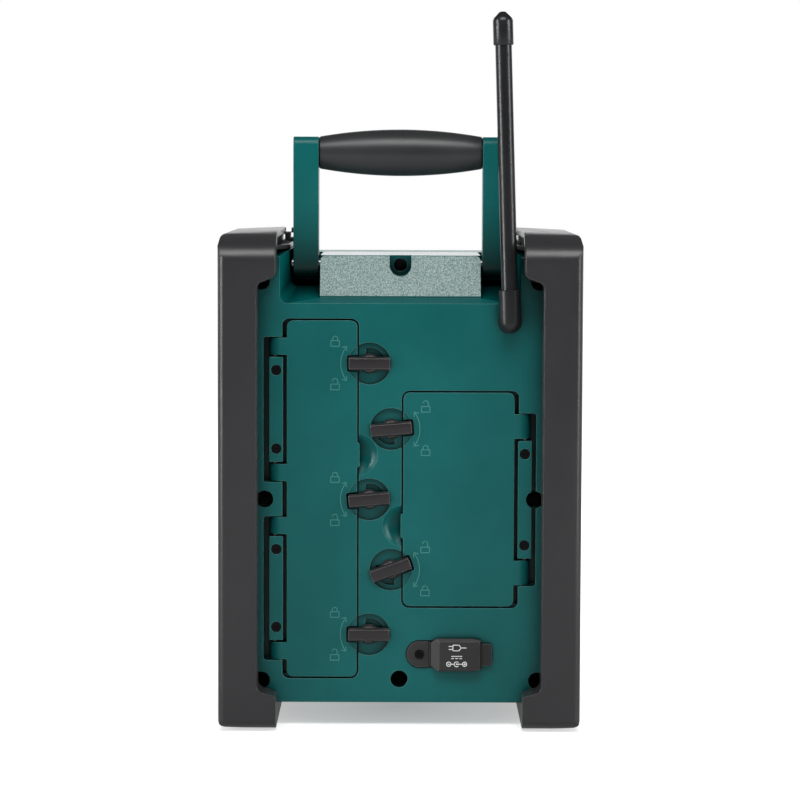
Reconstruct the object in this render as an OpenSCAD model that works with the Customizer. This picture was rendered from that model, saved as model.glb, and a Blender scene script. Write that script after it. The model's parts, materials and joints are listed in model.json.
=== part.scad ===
// Jobsite radio: a moulded green body between two full-depth corner bumpers, with a folding
// carry handle, a swivelling whip antenna, two gasketed rear doors on pinned hinges, five
// quarter-turn door latches and a flap over the power inlet. The front has the loudspeaker,
// the display, six push buttons and two rotary knobs.
// Frame: origin on the floor under the middle of the radio, +Z up, back face towards +Y.

/* [Body] */
// Width of the green body
body_w = 171.6; // [168:0.2:176]
// Height of the body at its shoulders
body_h = 240.6; // [236:0.1:244]
// Height of the body's underside above the floor
body_lift = 12.8; // [10:0.1:18]
// Depth of the rear cover, from the seam to the back face
cover_d = 80; // [76:0.5:90]
// Depth of the front housing, from the seam to the front face
housing_d = 38; // [37:0.5:46]
// Wall of the two body mouldings
wall = 2.6; // [2.2:0.1:3]
// Corner radius of the body, seen from the back
body_r = 9; // [5:0.5:12]
// Drop from the shoulders to the middle of the top
saddle_drop = 3.3; // [2:0.1:5]
// Fall of the shoulders to the back face
shoulder_fall = 3.4; // [3:0.1:6]
// Clearance between parts that seat on each other
fit = 0.15; // [0.1:0.05:0.3]
// Radial clearance of a shaft in its hole
running = 0.06; // [0.03:0.01:0.1]

/* [Bumpers] */
// Thickness of a bumper at the side of the body
bumper_t = 9.6; // [8:0.1:12]
// Height of the bumper's back strip above the back face
proud_back = 18; // [16:0.1:19]
// Height of the bumper's front strip above the front face
proud_front = 16; // [12:0.1:18]
// Width of the back and front strips
strip_w = 20.5; // [19:0.1:20.8]
// Width of the cap and of the foot
cap_w = 30.4; // [29:0.1:31.2]
// Height of the cap above the shoulders, at its inner end
cap_rise = 9.9; // [8:0.1:12]
// Fall of the cap towards its outer corner
cap_slope = 1.5; // [1:0.1:3]
// Rise of the foot towards its outer corner
foot_slope = 2.2; // [1:0.1:3]
// Width of the level part of the foot
foot_flat = 8; // [6:0.5:14]
// Height of the foot's shoulder, where the strip narrows
foot_h = 19; // [16:0.1:22]
// Rise of the foot's shoulder towards the strip
foot_jog = 2.8; // [1:0.1:5]
// Height of the cap's lower end below the shoulders
cap_drop = 13.6; // [10:0.1:16]
// Fall of the cap's lower end towards the strip
cap_jog = 3.7; // [1:0.1:6]
// Depth of the rounding of the cap's top edges, from the back or the front
cap_round_d = 27; // [18:0.5:32]
// Height of the rounding of the cap's top edges
cap_round_h = 16; // [11:0.5:20]
// Depth of the rounding of the foot's bottom edges
foot_round_d = 17; // [8:0.5:22]
// Height of the rounding of the foot's bottom edges
foot_round_h = 7; // [4:0.5:10]
// Radius of the outer corners
bumper_corner_r = 4.5; // [3:0.5:6]
// Wall round the hollow in the cap's inner side
cap_wall = 2.6; // [2:0.1:3.4]
// Depth of that hollow
cap_hollow = 9; // [6:0.5:11]
// Spacing of the ribs in a bumper's hollow side
rib_pitch = 24; // [20:1:40]

/* [Handle recess] */
// Widening of the recess from its floor to the back face, on each side
recess_flare = 5.6; // [4:0.1:6]
// Gap between an arm and the walls beside it
arm_clearance = 1; // [0.8:0.1:1.2]
// Height of the recess below the shoulders, at the back face
recess_h = 28.1; // [26:0.1:30]
// Depth of the sloping lip of the recess
recess_lip_d = 19.6; // [17:0.1:21]
// Rise of the lip
recess_lip_rise = 8.3; // [7:0.1:9.5]
// Depth from the back face to the foot of the block's slope
block_foot_d = 6.2; // [5:0.1:8]
// Depth from the back face to the top of the block's slope
block_top_d = 17.6; // [15:0.1:19]
// Half width of the notch for the upper case screw
notch_r = 5.8; // [5.2:0.1:6.5]
// Depth from the back face to the notch's floor
notch_d = 24; // [21:0.5:26]

/* [Handle] */
// Distance between the inner sides of the arms
handle_gap = 87; // [86.4:0.1:88]
// Width of an arm
arm_w = 13.4; // [12:0.1:13.6]
// Depth of an arm at its pivot
arm_d = 15.6; // [14:0.2:16]
// Depth of an arm at the grip
arm_top_d = 19; // [17:0.2:21]
// Height of the pivot below the shoulders
pivot_drop = 7.9; // [7:0.1:9]
// Depth of the pivot from the back face
pivot_depth = 23; // [22:0.5:26]
// Distance from the pivot to the middle of the grip
handle_reach = 59; // [57:0.5:64]
// Height of the arms above the middle of the grip
arm_over = 8.4; // [8:0.1:11]
// Diameter of the grip at its ends
grip_end_d = 17; // [15:0.1:19]
// Diameter of the grip at its middle
grip_mid_d = 24.7; // [20:0.1:25]
// Diameter of the bar inside the grip
grip_bar_d = 11; // [8:0.1:13]
// Diameter of the pivot pins
pivot_pin_d = 5; // [4:0.1:5.6]

/* [Doors] */
// Thickness of a door
door_t = 3; // [2.6:0.1:3.4]
// Gap round a door
door_gap = 1; // [0.6:0.1:1.2]
// Corner radius of a door
door_r = 3.4; // [2:0.1:5]
// Height of the middle of both doors above the floor
door_mid_z = 121.5; // [120:0.1:123]
// Width of the device door
aux_w = 37.1; // [36.5:0.1:37.6]
// Height of the device door
aux_h = 189.6; // [186:0.2:191]
// Distance of the device door's latch edge from the middle of the radio
aux_x = 22.6; // [22.2:0.1:23]
// Width of the battery door
battery_w = 58.6; // [58.2:0.1:59]
// Height of the battery door
battery_h = 113.7; // [113:0.1:117]
// Distance of the battery door's latch edge from the middle of the radio
battery_x = 1.9; // [1.8:0.1:2.6]
// Distance of the hinge pins from the middle of the radio
hinge_x = 66.2; // [66:0.1:66.6]
// Depth of the hinge pins below the back face
hinge_depth = 4.6; // [4.5:0.1:4.8]
// Radius of the curve in which a hinge arm leaves the door
arm_bend_r = 8.2; // [7.8:0.1:8.6]
// Width of the deep groove beside a door's hinge edge
groove_w = 2.4; // [2.2:0.1:2.5]
// Diameter of the hinge pins
hinge_pin_d = 2.4; // [2:0.1:2.8]
// Length of a hinge pin in its retainer
pin_grip = 5; // [4:0.5:5.5]
// Width of the device door's hinge arms
aux_arm_w = 9; // [8:0.1:10]
// Length of one hinge of the device door, over its two arms
aux_hinge_len = 76; // [72:0.5:80]
// Distance of a hinge of the device door from the door's end
aux_hinge_inset = 9.2; // [7:0.1:10]
// Width of the battery door's hinge arms
battery_arm_w = 13; // [11:0.1:14]
// Length of the battery door's hinge over its two arms
battery_hinge_len = 91; // [88:0.5:94]
// Width of a hinge retainer
retainer_w = 7.2; // [7:0.1:7.4]
// Gap between a door's hinge edge and its retainer
retainer_gap = 2.1; // [2:0.1:2.3]
// Distance of a retainer's screws from its ends
retainer_screw_inset = 7; // [6.6:0.1:8]
// Width of the finger tab on a door's edge
tab_w = 13; // [10:0.5:16]
// Reach of the finger tab beyond the door's edge
tab_reach = 1.3; // [0.8:0.1:1.6]
// Width of the rail along the device door's free edge
aux_rail_w = 5; // [4.8:0.1:5.2]
// Radius of a finger scoop at the back face
scoop_r = 11; // [9:0.2:11.4]
// Depth of a finger scoop
scoop_d = 5; // [3:0.1:5.2]
// Height of the device door's scoop above the doors' middle
aux_scoop_z = 23.7; // [23:0.1:26]
// Height of the battery door's scoop below the doors' middle
battery_scoop_z = 14.1; // [12:0.1:15]
// Width of the ledge a door's edge rests on at its latch side
ledge_latch = 5.5; // [5.2:0.1:6]
// Width of the ledge at a door's hinge side
ledge_hinge = 3.4; // [3.2:0.1:3.6]
// Width of the ledge at a door's two ends
ledge = 3.8; // [3:0.1:4]
// Wall of the ring that plugs a door into its opening
plug_t = 1.2; // [1:0.1:1.4]
// Height of the plug ring
plug_h = 3; // [2.5:0.1:3.4]
// Thickness of the door seal
seal_t = 0.9; // [0.7:0.1:1.1]

/* [Latches] */
// Radius of a latch's dish
dish_r = 11.2; // [11:0.1:11.4]
// Depth of the dish
dish_d = 2; // [1.6:0.1:2.2]
// Depth of the dish where it runs on into a door
door_dish_d = 0.5; // [0.3:0.1:0.8]
// Length of a latch lever
lever_l = 21.6; // [20:0.1:22]
// Width of a latch lever
lever_w = 7.2; // [6.4:0.1:7.4]
// Width of the slope along a lever's long edges
lever_bevel = 0.9; // [0.5:0.1:1.4]
// Height of a lever above the back face
lever_h = 3; // [2.4:0.1:3.6]
// Radius of a latch's hub
hub_r = 5.3; // [4.6:0.1:5.8]
// Radius of a latch's stem
stem_r = 3; // [2.6:0.1:3.2]
// Distance of a latch from the edge of its door
latch_offset = 6.5; // [6.3:0.1:6.7]
// Distance of the device door's outer latches from the door's ends
aux_latch_inset = 22.7; // [21:0.1:24]
// Distance of the battery door's latches from the door's ends
battery_latch_inset = 19.45; // [18:0.05:21]
// Radius of the stop pocket in the dish
pocket_r = 8.4; // [8:0.1:9]
// Width of the lug that runs in the pocket
lug_w = 3.2; // [2:0.1:4]
// Clearance beside a lever's end in its door's notch
lever_side_gap = 0.8; // [0.7:0.1:1]
// Clearance beyond a lever's end in its door's notch
lever_end_gap = 1.2; // [1.1:0.1:1.5]
// Clearance between a lever and the surface under it
lever_clear = 0.1; // [0.1:0.05:0.3]

/* [Battery tray and device bay] */
// Diameter of a battery cell
cell_d = 26.2; // [26:0.1:26.4]
// Number of cells
cell_count = 4; // [4:1:4]
// Depth of the battery tray
tray_d = 29; // [28:0.5:31]
// Depth of the device bay
bay_d = 57; // [50:0.5:58]
// Wall of the tray and the bay
tray_wall = 1.6; // [1.2:0.1:2]
// Free length of a battery spring
spring_l = 3.4; // [3:0.1:3.6]

/* [Antenna] */
// Distance of the antenna pivot from the middle of the radio
antenna_x = 57.8; // [57.4:0.1:58.2]
// Height of the antenna pivot below the shoulders
antenna_drop = 37.4; // [36.4:0.1:39]
// Lean of the antenna towards the middle at rest
antenna_lean = 1.8; // [0:0.1:2]
// Diameter of the antenna's foot
sleeve_d = 11.6; // [10:0.1:11.8]
// Length of the foot above the pivot
sleeve_l = 17; // [15:0.5:18]
// Diameter of the mast
mast_d = 8.7; // [7:0.1:8.8]
// Length of the antenna above the pivot
antenna_l = 162; // [150:1:164]
// Length of the antenna's end cap
tip_l = 17.5; // [14:0.5:20]
// Diameter of the antenna's end cap
tip_d = 10.6; // [9:0.1:11]

/* [Power inlet] */
// Distance of the inlet from the middle of the radio
inlet_x = 31.3; // [30.8:0.1:32]
// Height of the inlet above the body's underside
inlet_z = 26.1; // [25.5:0.1:26.5]
// Width of the cover's raised block
flap_w = 26.5; // [24:0.1:26.8]
// Height of the cover's raised block
flap_h = 17.3; // [16.4:0.1:19]
// Height of the block above the back face
flap_t = 4.6; // [4:0.1:5.4]
// Length of the cut corners of the block
flap_corner = 2.4; // [1:0.1:3.4]
// Width of the slope on the block's hinge side
flap_bevel = 4.2; // [2:0.1:5]
// Height of the D-shaped anchor
anchor_h = 13.8; // [12:0.1:14.2]
// Radius of the bead in which the cover bends
flap_bead_r = 0.5; // [0.4:0.05:0.6]
// Radius of the head of the cover's screw
inlet_head_r = 2.3; // [2:0.1:2.5]
// Radius of the inlet's hole
inlet_r = 5.5; // [5.2:0.1:5.8]

/* [Front] */
// Height of the loudspeaker's middle above the floor
speaker_z = 90; // [88:0.5:92]
// Radius of the loudspeaker grille
grille_r = 60; // [58:0.5:61]
// Number of rings in the grille
grille_rings = 12; // [9:1:13]
// Rise of the grille's dome
grille_rise = 5; // [4:0.1:7]
// Radius of the loudspeaker's flange
speaker_r = 54; // [52:0.5:55]
// Width of the control panel
panel_w = 132; // [130:1:134]
// Height of the control panel
panel_h = 70; // [68:0.5:72]
// Height of the control panel's middle above the floor
panel_z = 200; // [199:0.5:202]
// Width of the display window
window_w = 60; // [50:1:62]
// Height of the display window
window_h = 24; // [20:1:26]
// Height of the display and the knobs above the panel's middle
window_rise = 11; // [9:0.5:13]
// Diameter of a knob
knob_d = 26; // [22:0.5:28]
// Distance of the knobs from the middle
knob_x = 49.5; // [48:0.5:51]
// Width of a button
button_w = 13; // [10:0.5:14]
// Height of a button
button_h = 7; // [6:0.5:9]
// Distance between two buttons
button_pitch = 18; // [17:0.5:20]
// Travel of a button
button_travel = 1.2; // [0.8:0.1:1.6]

/* [Fasteners] */
// Radius of a case screw's counterbore
bore_r = 4.6; // [4.2:0.1:4.7]
// Radius of a case screw's head
head_r = 3.5; // [3:0.1:3.8]
// Radius of a case screw's shank
shank_r = 1.7; // [1.5:0.05:1.9]
// Distance of the middle case screws from the middle of the radio
screw_mid_x = 71.5; // [71:0.1:71.8]
// Distance of the corner case screws from the middle of the radio
screw_corner_x = 73.3; // [73:0.1:73.6]
// Height of the lower middle case screw above the body's underside
screw_low = 12.7; // [11.6:0.1:13]
// Height of the lower corner case screws above the body's underside
screw_corner_low = 11.8; // [11:0.1:12.4]
// Depth of the upper corner screws below the shoulders
screw_high = 16.4; // [16:0.1:17.4]
// Depth of the upper middle screw below the shoulders
screw_top = 8.5; // [8:0.1:9.5]
// Radius of a small screw's head
small_head_r = 2.6; // [2.2:0.1:2.7]
// Radius of a small screw's shank
small_shank_r = 1.1; // [0.9:0.05:1.2]

/* [Hidden] */
$fn = 64;
ARC_STEPS = 8;
EPS = 0.01;
GREEN = "#1d6462";
DARK = "#434446";
RUBBER = "#3a3a3b";
STEEL = "#b9bcc0";

// ---- places that follow from the sizes above ----
depth_all = proud_front + housing_d + cover_d + proud_back;
y_back = depth_all / 2 - proud_back;
y_seam = y_back - cover_d;
y_front = y_seam - housing_d;
y_rear_end = y_back + proud_back;
y_front_end = y_front - proud_front;
z_bot = body_lift;
z_top = body_lift + body_h;
z_saddle = z_top - saddle_drop;
half_w = body_w / 2;
bumper_x = half_w + bumper_t;
strip_x = bumper_x - strip_w;
cap_x = bumper_x - cap_w;
z_cap = z_top + cap_rise;

// Handle
pivot_y = y_back - pivot_depth;
pivot_z = z_top - pivot_drop;
arm_x = handle_gap / 2;
grip_z = pivot_z + handle_reach;
arm_r = arm_d / 2;
block_w = handle_gap - 2 * arm_clearance;
recess_floor_w = handle_gap + 2 * (arm_w + arm_clearance);
recess_w = recess_floor_w + 2 * recess_flare;
channel_z = z_top - recess_h + recess_lip_rise;
channel_end = pivot_y - 47;
recess_foot = z_top - recess_h;

// Doors: each is [x of the latch edge, x of the hinge edge, lower edge, upper edge], as drawn on +X
door_y = y_back - door_t;
ledge_y = door_y - 0.2;
frame_y = ledge_y - plug_h - 0.2;
hinge_y = y_back - hinge_depth;
knuckle_r = 3;
pocket_y = hinge_y - knuckle_r - 0.6;
groove_y = y_back - 7;
retainer_y = y_back - 0.7;
retainer_end = 1.2;
AUX = [aux_x, aux_x + aux_w, door_mid_z - aux_h / 2, door_mid_z + aux_h / 2];
BATTERY = [battery_x, battery_x + battery_w, door_mid_z - battery_h / 2, door_mid_z + battery_h / 2];
AUX_HINGES = [AUX[2] + aux_hinge_inset + aux_hinge_len / 2, AUX[3] - aux_hinge_inset - aux_hinge_len / 2];
BATTERY_HINGES = [door_mid_z];
channel_x = hinge_x + hinge_depth + 1.3;

// Latches: [x, z, lean at rest, side of the door it holds], turned by 90 degrees less the lean
LATCHES = [
    [aux_x - latch_offset, AUX[3] - aux_latch_inset, 0, 1],
    [aux_x - latch_offset, door_mid_z, 5, 1],
    [aux_x - latch_offset, AUX[2] + aux_latch_inset, 0, 1],
    [latch_offset - battery_x, BATTERY[3] - battery_latch_inset, 5, -1],
    [latch_offset - battery_x, BATTERY[2] + battery_latch_inset, 20, -1],
];
dish_y = y_back - dish_d;
SCOOPS = [[aux_x, door_mid_z + aux_scoop_z, 1], [-battery_x, door_mid_z - battery_scoop_z, -1]];

// Battery tray and device bay, as [inner x, outer x, low z, high z] of their openings
AUX_HOLE = [AUX[0] + ledge_latch, AUX[1] - ledge_hinge, AUX[2] + ledge, AUX[3] - ledge];
BATTERY_HOLE = [BATTERY[0] + ledge_latch, BATTERY[1] - ledge_hinge, BATTERY[2] + ledge, BATTERY[3] - ledge];
tray_in = [BATTERY[0] + 0.3, BATTERY_HOLE[1]];
cell_row_h = cell_count * cell_d + 1.2;

// Antenna
antenna_z = z_top - antenna_drop;
antenna_y = y_back + sleeve_d / 2 + 0.15;
base_r = sleeve_d / 2 + 0.5;
stud_r = 2;

// Power inlet
z_inlet = z_bot + inlet_z;
flap_x1 = inlet_x + 12.3;
flap_x0 = flap_x1 - flap_w;
flap_hinge_x = flap_x0 - 0.9;
flap_hinge_y = y_back + 0.2;
anchor_x = flap_hinge_x - 12.2;
anchor_screw_x = flap_hinge_x - 5.4;
sheet_t = 1.7;
tab_recess = 0.9;
sheet_y = y_back - tab_recess + sheet_t;

// Case screws, as [x, z, y of the face it is sunk in]
CASE_SCREWS = concat(
    [[0, z_top - screw_top, y_back - notch_d], [0, z_bot + screw_low, y_back]],
    [for (s = [-1, 1]) each [[s * screw_mid_x, door_mid_z, y_back],
                             [s * screw_corner_x, z_top - screw_high, y_back],
                             [s * screw_corner_x, z_bot + screw_corner_low, y_back]]]
);
head_y = y_seam + 16;
boss_r = bore_r + 1.8;
pilot_r = shank_r + running;
shank_end = y_seam - 16;

// Front
panel_t = 2.4;
z_window = panel_z + window_rise;
z_buttons = panel_z - 19;
board_y = y_front + 13;
BUTTON_X = [for (i = [0 : 5]) (i - 2.5) * button_pitch];
knob_y = y_front - 9;
shaft_r = 3;
speaker_y = y_front + wall + 0.4;

// ---- outline helpers ----
function unit(v) = v / norm(v);
function corner_arc(a, p, b, r) =
    let (u = unit(a - p), v = unit(b - p), half = acos(u * v) / 2,
         c = p + unit(u + v) * r / sin(half),
         s = p + u * r / tan(half) - c, e = p + v * r / tan(half) - c,
         start = atan2(s.y, s.x), turn = atan2(s.x * e.y - s.y * e.x, s * e))
    [for (i = [0 : ARC_STEPS]) c + r * [cos(start + turn * i / ARC_STEPS), sin(start + turn * i / ARC_STEPS)]];
function at(p) = [p.x, p.y];
// A closed outline from [x, y, corner radius] points
function rounded(pts) = [for (i = [0 : len(pts) - 1])
    each pts[i].z <= 0 ? [at(pts[i])] :
        corner_arc(at(pts[(i + len(pts) - 1) % len(pts)]), at(pts[i]), at(pts[(i + 1) % len(pts)]), pts[i].z)];
function box_outline(x0, x1, z0, z1, r) = rounded([[x0, z0, r], [x1, z0, r], [x1, z1, r], [x0, z1, r]]);
// A quarter of an ellipse with the half axes a and b, from the angle start
function quarter(cx, cy, a, b, start) =
    [for (i = [0 : 2 * ARC_STEPS]) let (t = start + 90 * i / (2 * ARC_STEPS))
        [cx + a * cos(t), cy + b * sin(t)]];

// ---- placing helpers: an outline drawn in XZ, in YZ or in XY, made a slab ----
module slab_y(y0, y1) translate([0, y1, 0]) rotate([90, 0, 0]) linear_extrude(height = y1 - y0) children();
module slab_x(x0, x1) translate([x0, 0, 0]) rotate([90, 0, 90]) linear_extrude(height = x1 - x0) children();
module slab_z(z0, z1) translate([0, 0, z0]) linear_extrude(height = z1 - z0) children();
module rod_y(x, z, r, y0, y1) translate([x, y1, z]) rotate([90, 0, 0]) cylinder(r = r, h = y1 - y0);
module rod_x(y, z, r, x0, x1) translate([x0, y, z]) rotate([0, 90, 0]) cylinder(r = r, h = x1 - x0);
module rod_z(x, y, r, z0, z1) translate([x, y, z0]) cylinder(r = r, h = z1 - z0);
module block(x0, x1, y0, y1, z0, z1) translate([x0, y0, z0]) cube([x1 - x0, y1 - y0, z1 - z0]);
// A turned part whose axis is along Y: the outline's x is the radius, its y the distance towards +Y
module turned_y(x, y, z) translate([x, y, z]) rotate([-90, 0, 0]) rotate_extrude() children();
module both_sides() { children(); mirror([1, 0, 0]) children(); }

// ================= body =================

// The body seen from the back, drawn smaller by inset
module body_outline(inset) {
    x = half_w - inset;
    step = recess_floor_w / 2 - 1 - saddle_drop + inset;
    r = max(body_r - inset, 1);
    polygon(rounded([
        [-x, z_bot + inset, r], [x, z_bot + inset, r], [x, z_top - inset, r],
        [step + saddle_drop, z_top - inset, 2], [step, z_saddle - inset, 2],
        [-step, z_saddle - inset, 2], [-step - saddle_drop, z_top - inset, 2], [-x, z_top - inset, r]
    ]));
}

// The body's block from the side: the shoulders fall to the back face
module cover_side(inset) polygon(rounded([
    [y_seam - EPS, z_bot + inset, 0], [y_back - inset, z_bot + inset, 1],
    [y_back - inset, z_top - shoulder_fall - inset, 1], [y_back - recess_lip_d, z_top - inset, 2],
    [y_seam - EPS, z_top - inset, 0]
]));

module housing_side(inset) polygon(rounded([
    [y_seam, z_bot + inset, 0], [y_seam, z_top - inset, 0],
    [y_front + inset, z_top - inset, 5], [y_front + inset, z_bot + inset, 3]
]));

// The recess that the handle arms stand in, with its sloping lip and rounded lower corners
module handle_recess() {
    r = 4.2;
    over = z_top + 20;
    hull() {
        slab_y(y_back, y_back + EPS)
            polygon(rounded([[-recess_w / 2, recess_foot, r], [recess_w / 2, recess_foot, r],
                             [recess_w / 2, over, 0], [-recess_w / 2, over, 0]]));
        slab_y(y_back - recess_lip_d, y_back - recess_lip_d + EPS)
            polygon(rounded([[-recess_floor_w / 2, channel_z, r - 1], [recess_floor_w / 2, channel_z, r - 1],
                             [recess_floor_w / 2, over, 0], [-recess_floor_w / 2, over, 0]]));
    }
    // the two channels that let the arms fold forward; they are deeper just under the pivots
    step_z = pivot_z - arm_r - 0.8;
    both_sides() slab_x(block_w / 2, recess_floor_w / 2) polygon([
        [y_back - recess_lip_d + EPS, channel_z], [y_back - recess_lip_d + EPS, over],
        [channel_end - 8, over], [channel_end - 8, z_top], [channel_end, step_z],
        [pivot_y - arm_r, step_z], [pivot_y - arm_r, channel_z]]);
}

// The block between the arms, with its long textured slope
module middle_block(inset) intersection() {
    slab_x(-block_w / 2 + inset, block_w / 2 - inset) polygon(rounded([
        [y_seam - EPS, z_bot + 60, 0],
        [y_back - block_foot_d - 4, z_bot + 60, 0],
        [y_back - block_foot_d - inset, recess_foot - 2, 0],
        [y_back - block_foot_d - inset, recess_foot + 3.6, 1],
        [y_back - block_top_d - inset, z_saddle - inset, 1.6], [y_seam - EPS, z_saddle - inset, 0]]));
    slab_y(y_seam - 1, y_back) polygon(rounded([
        [-block_w / 2 + inset, channel_z - 14, 0], [block_w / 2 - inset, channel_z - 14, 0],
        [block_w / 2 - inset, z_saddle - inset, 3], [-block_w / 2 + inset, z_saddle - inset, 3]]));
}

// Sunk seat of a door, its hinge pocket and the opening through the cover
module door_cuts(d, hole, hinges, hinge_len) {
    slab_y(ledge_y, y_back + 1) polygon(rounded([
        [d[0] - door_gap, d[2] - door_gap, door_r + door_gap], [d[1] + groove_w, d[2] - door_gap, door_r],
        [d[1] + groove_w, d[3] + door_gap, door_r], [d[0] - door_gap, d[3] + door_gap, door_r + door_gap]]));
    slab_y(frame_y - 10, y_back)
        polygon(box_outline(hole[0], hole[1], hole[2], hole[3], 2));
    // groove along the hinge edge, and the channels of the hinges
    slab_y(groove_y, y_back) polygon(box_outline(d[1], d[1] + groove_w, d[2] + 1, d[3] - 1, 0.8));
    for (z = hinges)
        slab_y(pocket_y, y_back + 1)
            polygon(box_outline(d[1], channel_x, z - hinge_len / 2 - 0.5, z + hinge_len / 2 + 0.5, 1.5));
}

module latch_cuts(l) {
    rod_y(l[0], l[1], dish_r, dish_y, y_back + 1);
    rod_y(l[0], l[1], stem_r + running, frame_y - 1, y_back);
    // the stop pocket spans the quarter turn of the lever's lug
    intersection() {
        rod_y(l[0], l[1], pocket_r, dish_y - 1.4, dish_y + 1);
        translate([l[0], 0, l[1]]) rotate([0, l[3] > 0 ? 0 : 180, 0])
            block(-pocket_r - 1, lug_w / 2 + 0.4, 0, y_back, -lug_w / 2 - 0.4, pocket_r + 1);
    }
}

module scoop(s) {
    centre = (scoop_r * scoop_r - scoop_d * scoop_d) / (2 * scoop_d);
    translate([s[0], y_back + centre, s[1]]) sphere(r = centre + scoop_d);
}

module rear_cover() color(GREEN) difference() {
    union() {
        difference() {
            intersection() {
                slab_y(y_seam, y_back) body_outline(0);
                slab_x(-half_w, half_w) cover_side(0);
            }
            // hollow, below the recess and beside it
            intersection() {
                slab_y(y_seam - 1, y_back - wall) body_outline(wall);
                slab_x(-half_w, half_w) polygon([
                    [y_seam - 1, z_bot + wall], [y_back - wall, z_bot + wall],
                    [y_back - wall, recess_foot - wall - 1], [y_back - recess_lip_d, channel_z - wall - 1],
                    [y_seam - 1, channel_z - wall - 1]]);
            }
            both_sides() slab_y(y_seam - 1, y_back - recess_lip_d - 1)
                polygon(rounded([[recess_floor_w / 2 + wall, channel_z - wall - 2, 0],
                                 [half_w - wall, channel_z - wall - 2, 0],
                                 [half_w - wall, z_top - wall, body_r - wall],
                                 [recess_floor_w / 2 + wall + saddle_drop, z_top - wall, 1],
                                 [recess_floor_w / 2 + wall, z_saddle - wall, 0]]));
            handle_recess();
        }
        difference() {
            middle_block(0);
            intersection() {
                middle_block(wall);
                slab_y(y_seam - 2, y_back - notch_d - wall) body_outline(wall);
            }
            block(-half_w, half_w, y_seam - 2, y_back, z_bot, recess_foot - wall - 1);
        }
        // frames behind the doors, pads behind the latches and scoops, tubes for the case screws
        intersection() {
            slab_y(y_seam - 1, y_back) body_outline(EPS);
            union() {
                slab_y(frame_y, y_back - EPS) polygon(box_outline(
                    AUX[0] - 4, channel_x + wall, AUX[2] - 3.6, AUX[3] + 3.6, 2));
                slab_y(frame_y, y_back - EPS) polygon(box_outline(
                    -channel_x - wall, -BATTERY[0] + 4, BATTERY[2] - 3.6, BATTERY[3] + 3.6, 2));
                slab_y(pocket_y - wall, y_back - EPS) polygon(box_outline(
                    AUX_HOLE[1] + tray_wall + 0.3, channel_x + wall, AUX[2] - 1, AUX[3] + 1, 1));
                slab_y(pocket_y - wall, y_back - EPS) polygon(box_outline(
                    -channel_x - wall, -BATTERY_HOLE[1] - tray_wall - 0.3, BATTERY[2] - 1, BATTERY[3] + 1, 1));
                for (l = LATCHES) rod_y(l[0], l[1], dish_r + 1.4, frame_y, y_back - EPS);
                for (s = SCOOPS) rod_y(s[0], s[1], scoop_r + 1, frame_y, y_back - EPS);
                for (c = CASE_SCREWS) rod_y(c.x, c.y, boss_r, y_seam, c.z - EPS);
                rod_y(-antenna_x, antenna_z, base_r + 2, y_back - 9, y_back - EPS);
            }
        }
    }
    door_cuts(AUX, AUX_HOLE, AUX_HINGES, aux_hinge_len);
    mirror([1, 0, 0]) door_cuts(BATTERY, BATTERY_HOLE, BATTERY_HINGES, battery_hinge_len);
    for (l = LATCHES) latch_cuts(l);
    for (s = SCOOPS) scoop(s);
    // notch and holes for the case screws
    slab_y(y_back - notch_d, y_back + 1) union() {
        translate([0, z_top - screw_top]) circle(r = notch_r);
        translate([-notch_r, z_top - screw_top]) square([2 * notch_r, screw_top + 1]);
    }
    for (c = CASE_SCREWS) {
        rod_y(c.x, c.y, bore_r * (c.z < y_back ? 0.76 : 1), head_y, y_back + 1);
        rod_y(c.x, c.y, shank_r + 0.2, y_seam - 1, head_y + 1);
    }
    both_sides() rod_x(pivot_y, pivot_z, pivot_pin_d / 2 + running, block_w / 2 - wall - 4,
                       recess_floor_w / 2 + wall + 3);
    for (z = AUX_HINGES, s = [-1, 1])
        rod_y(retainer_x(AUX), z + s * retainer_screw_z(aux_hinge_len, aux_arm_w), small_shank_r + running,
              pocket_y - wall - 1, y_back);
    for (s = [-1, 1])
        rod_y(-retainer_x(BATTERY), door_mid_z + s * retainer_screw_z(battery_hinge_len, battery_arm_w),
              small_shank_r + running, pocket_y - wall - 1, y_back);
    // antenna seat, power inlet and the shallow seat of its cover
    rod_y(-antenna_x, antenna_z, base_r + fit, y_back - 1, y_back + 1);
    rod_y(-antenna_x, antenna_z, stud_r + running, y_back - 10, y_back);
    rod_y(-inlet_x, z_inlet, inlet_r, y_back - 4, y_back + 1);
    slab_y(y_back - tab_recess, y_back + 1) mirror([1, 0, 0]) anchor_outline(0.6, flap_x0 + 1.4 - flap_hinge_x);
    rod_y(-anchor_screw_x, z_inlet, small_shank_r + running, y_back - 6, y_back);
}

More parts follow.
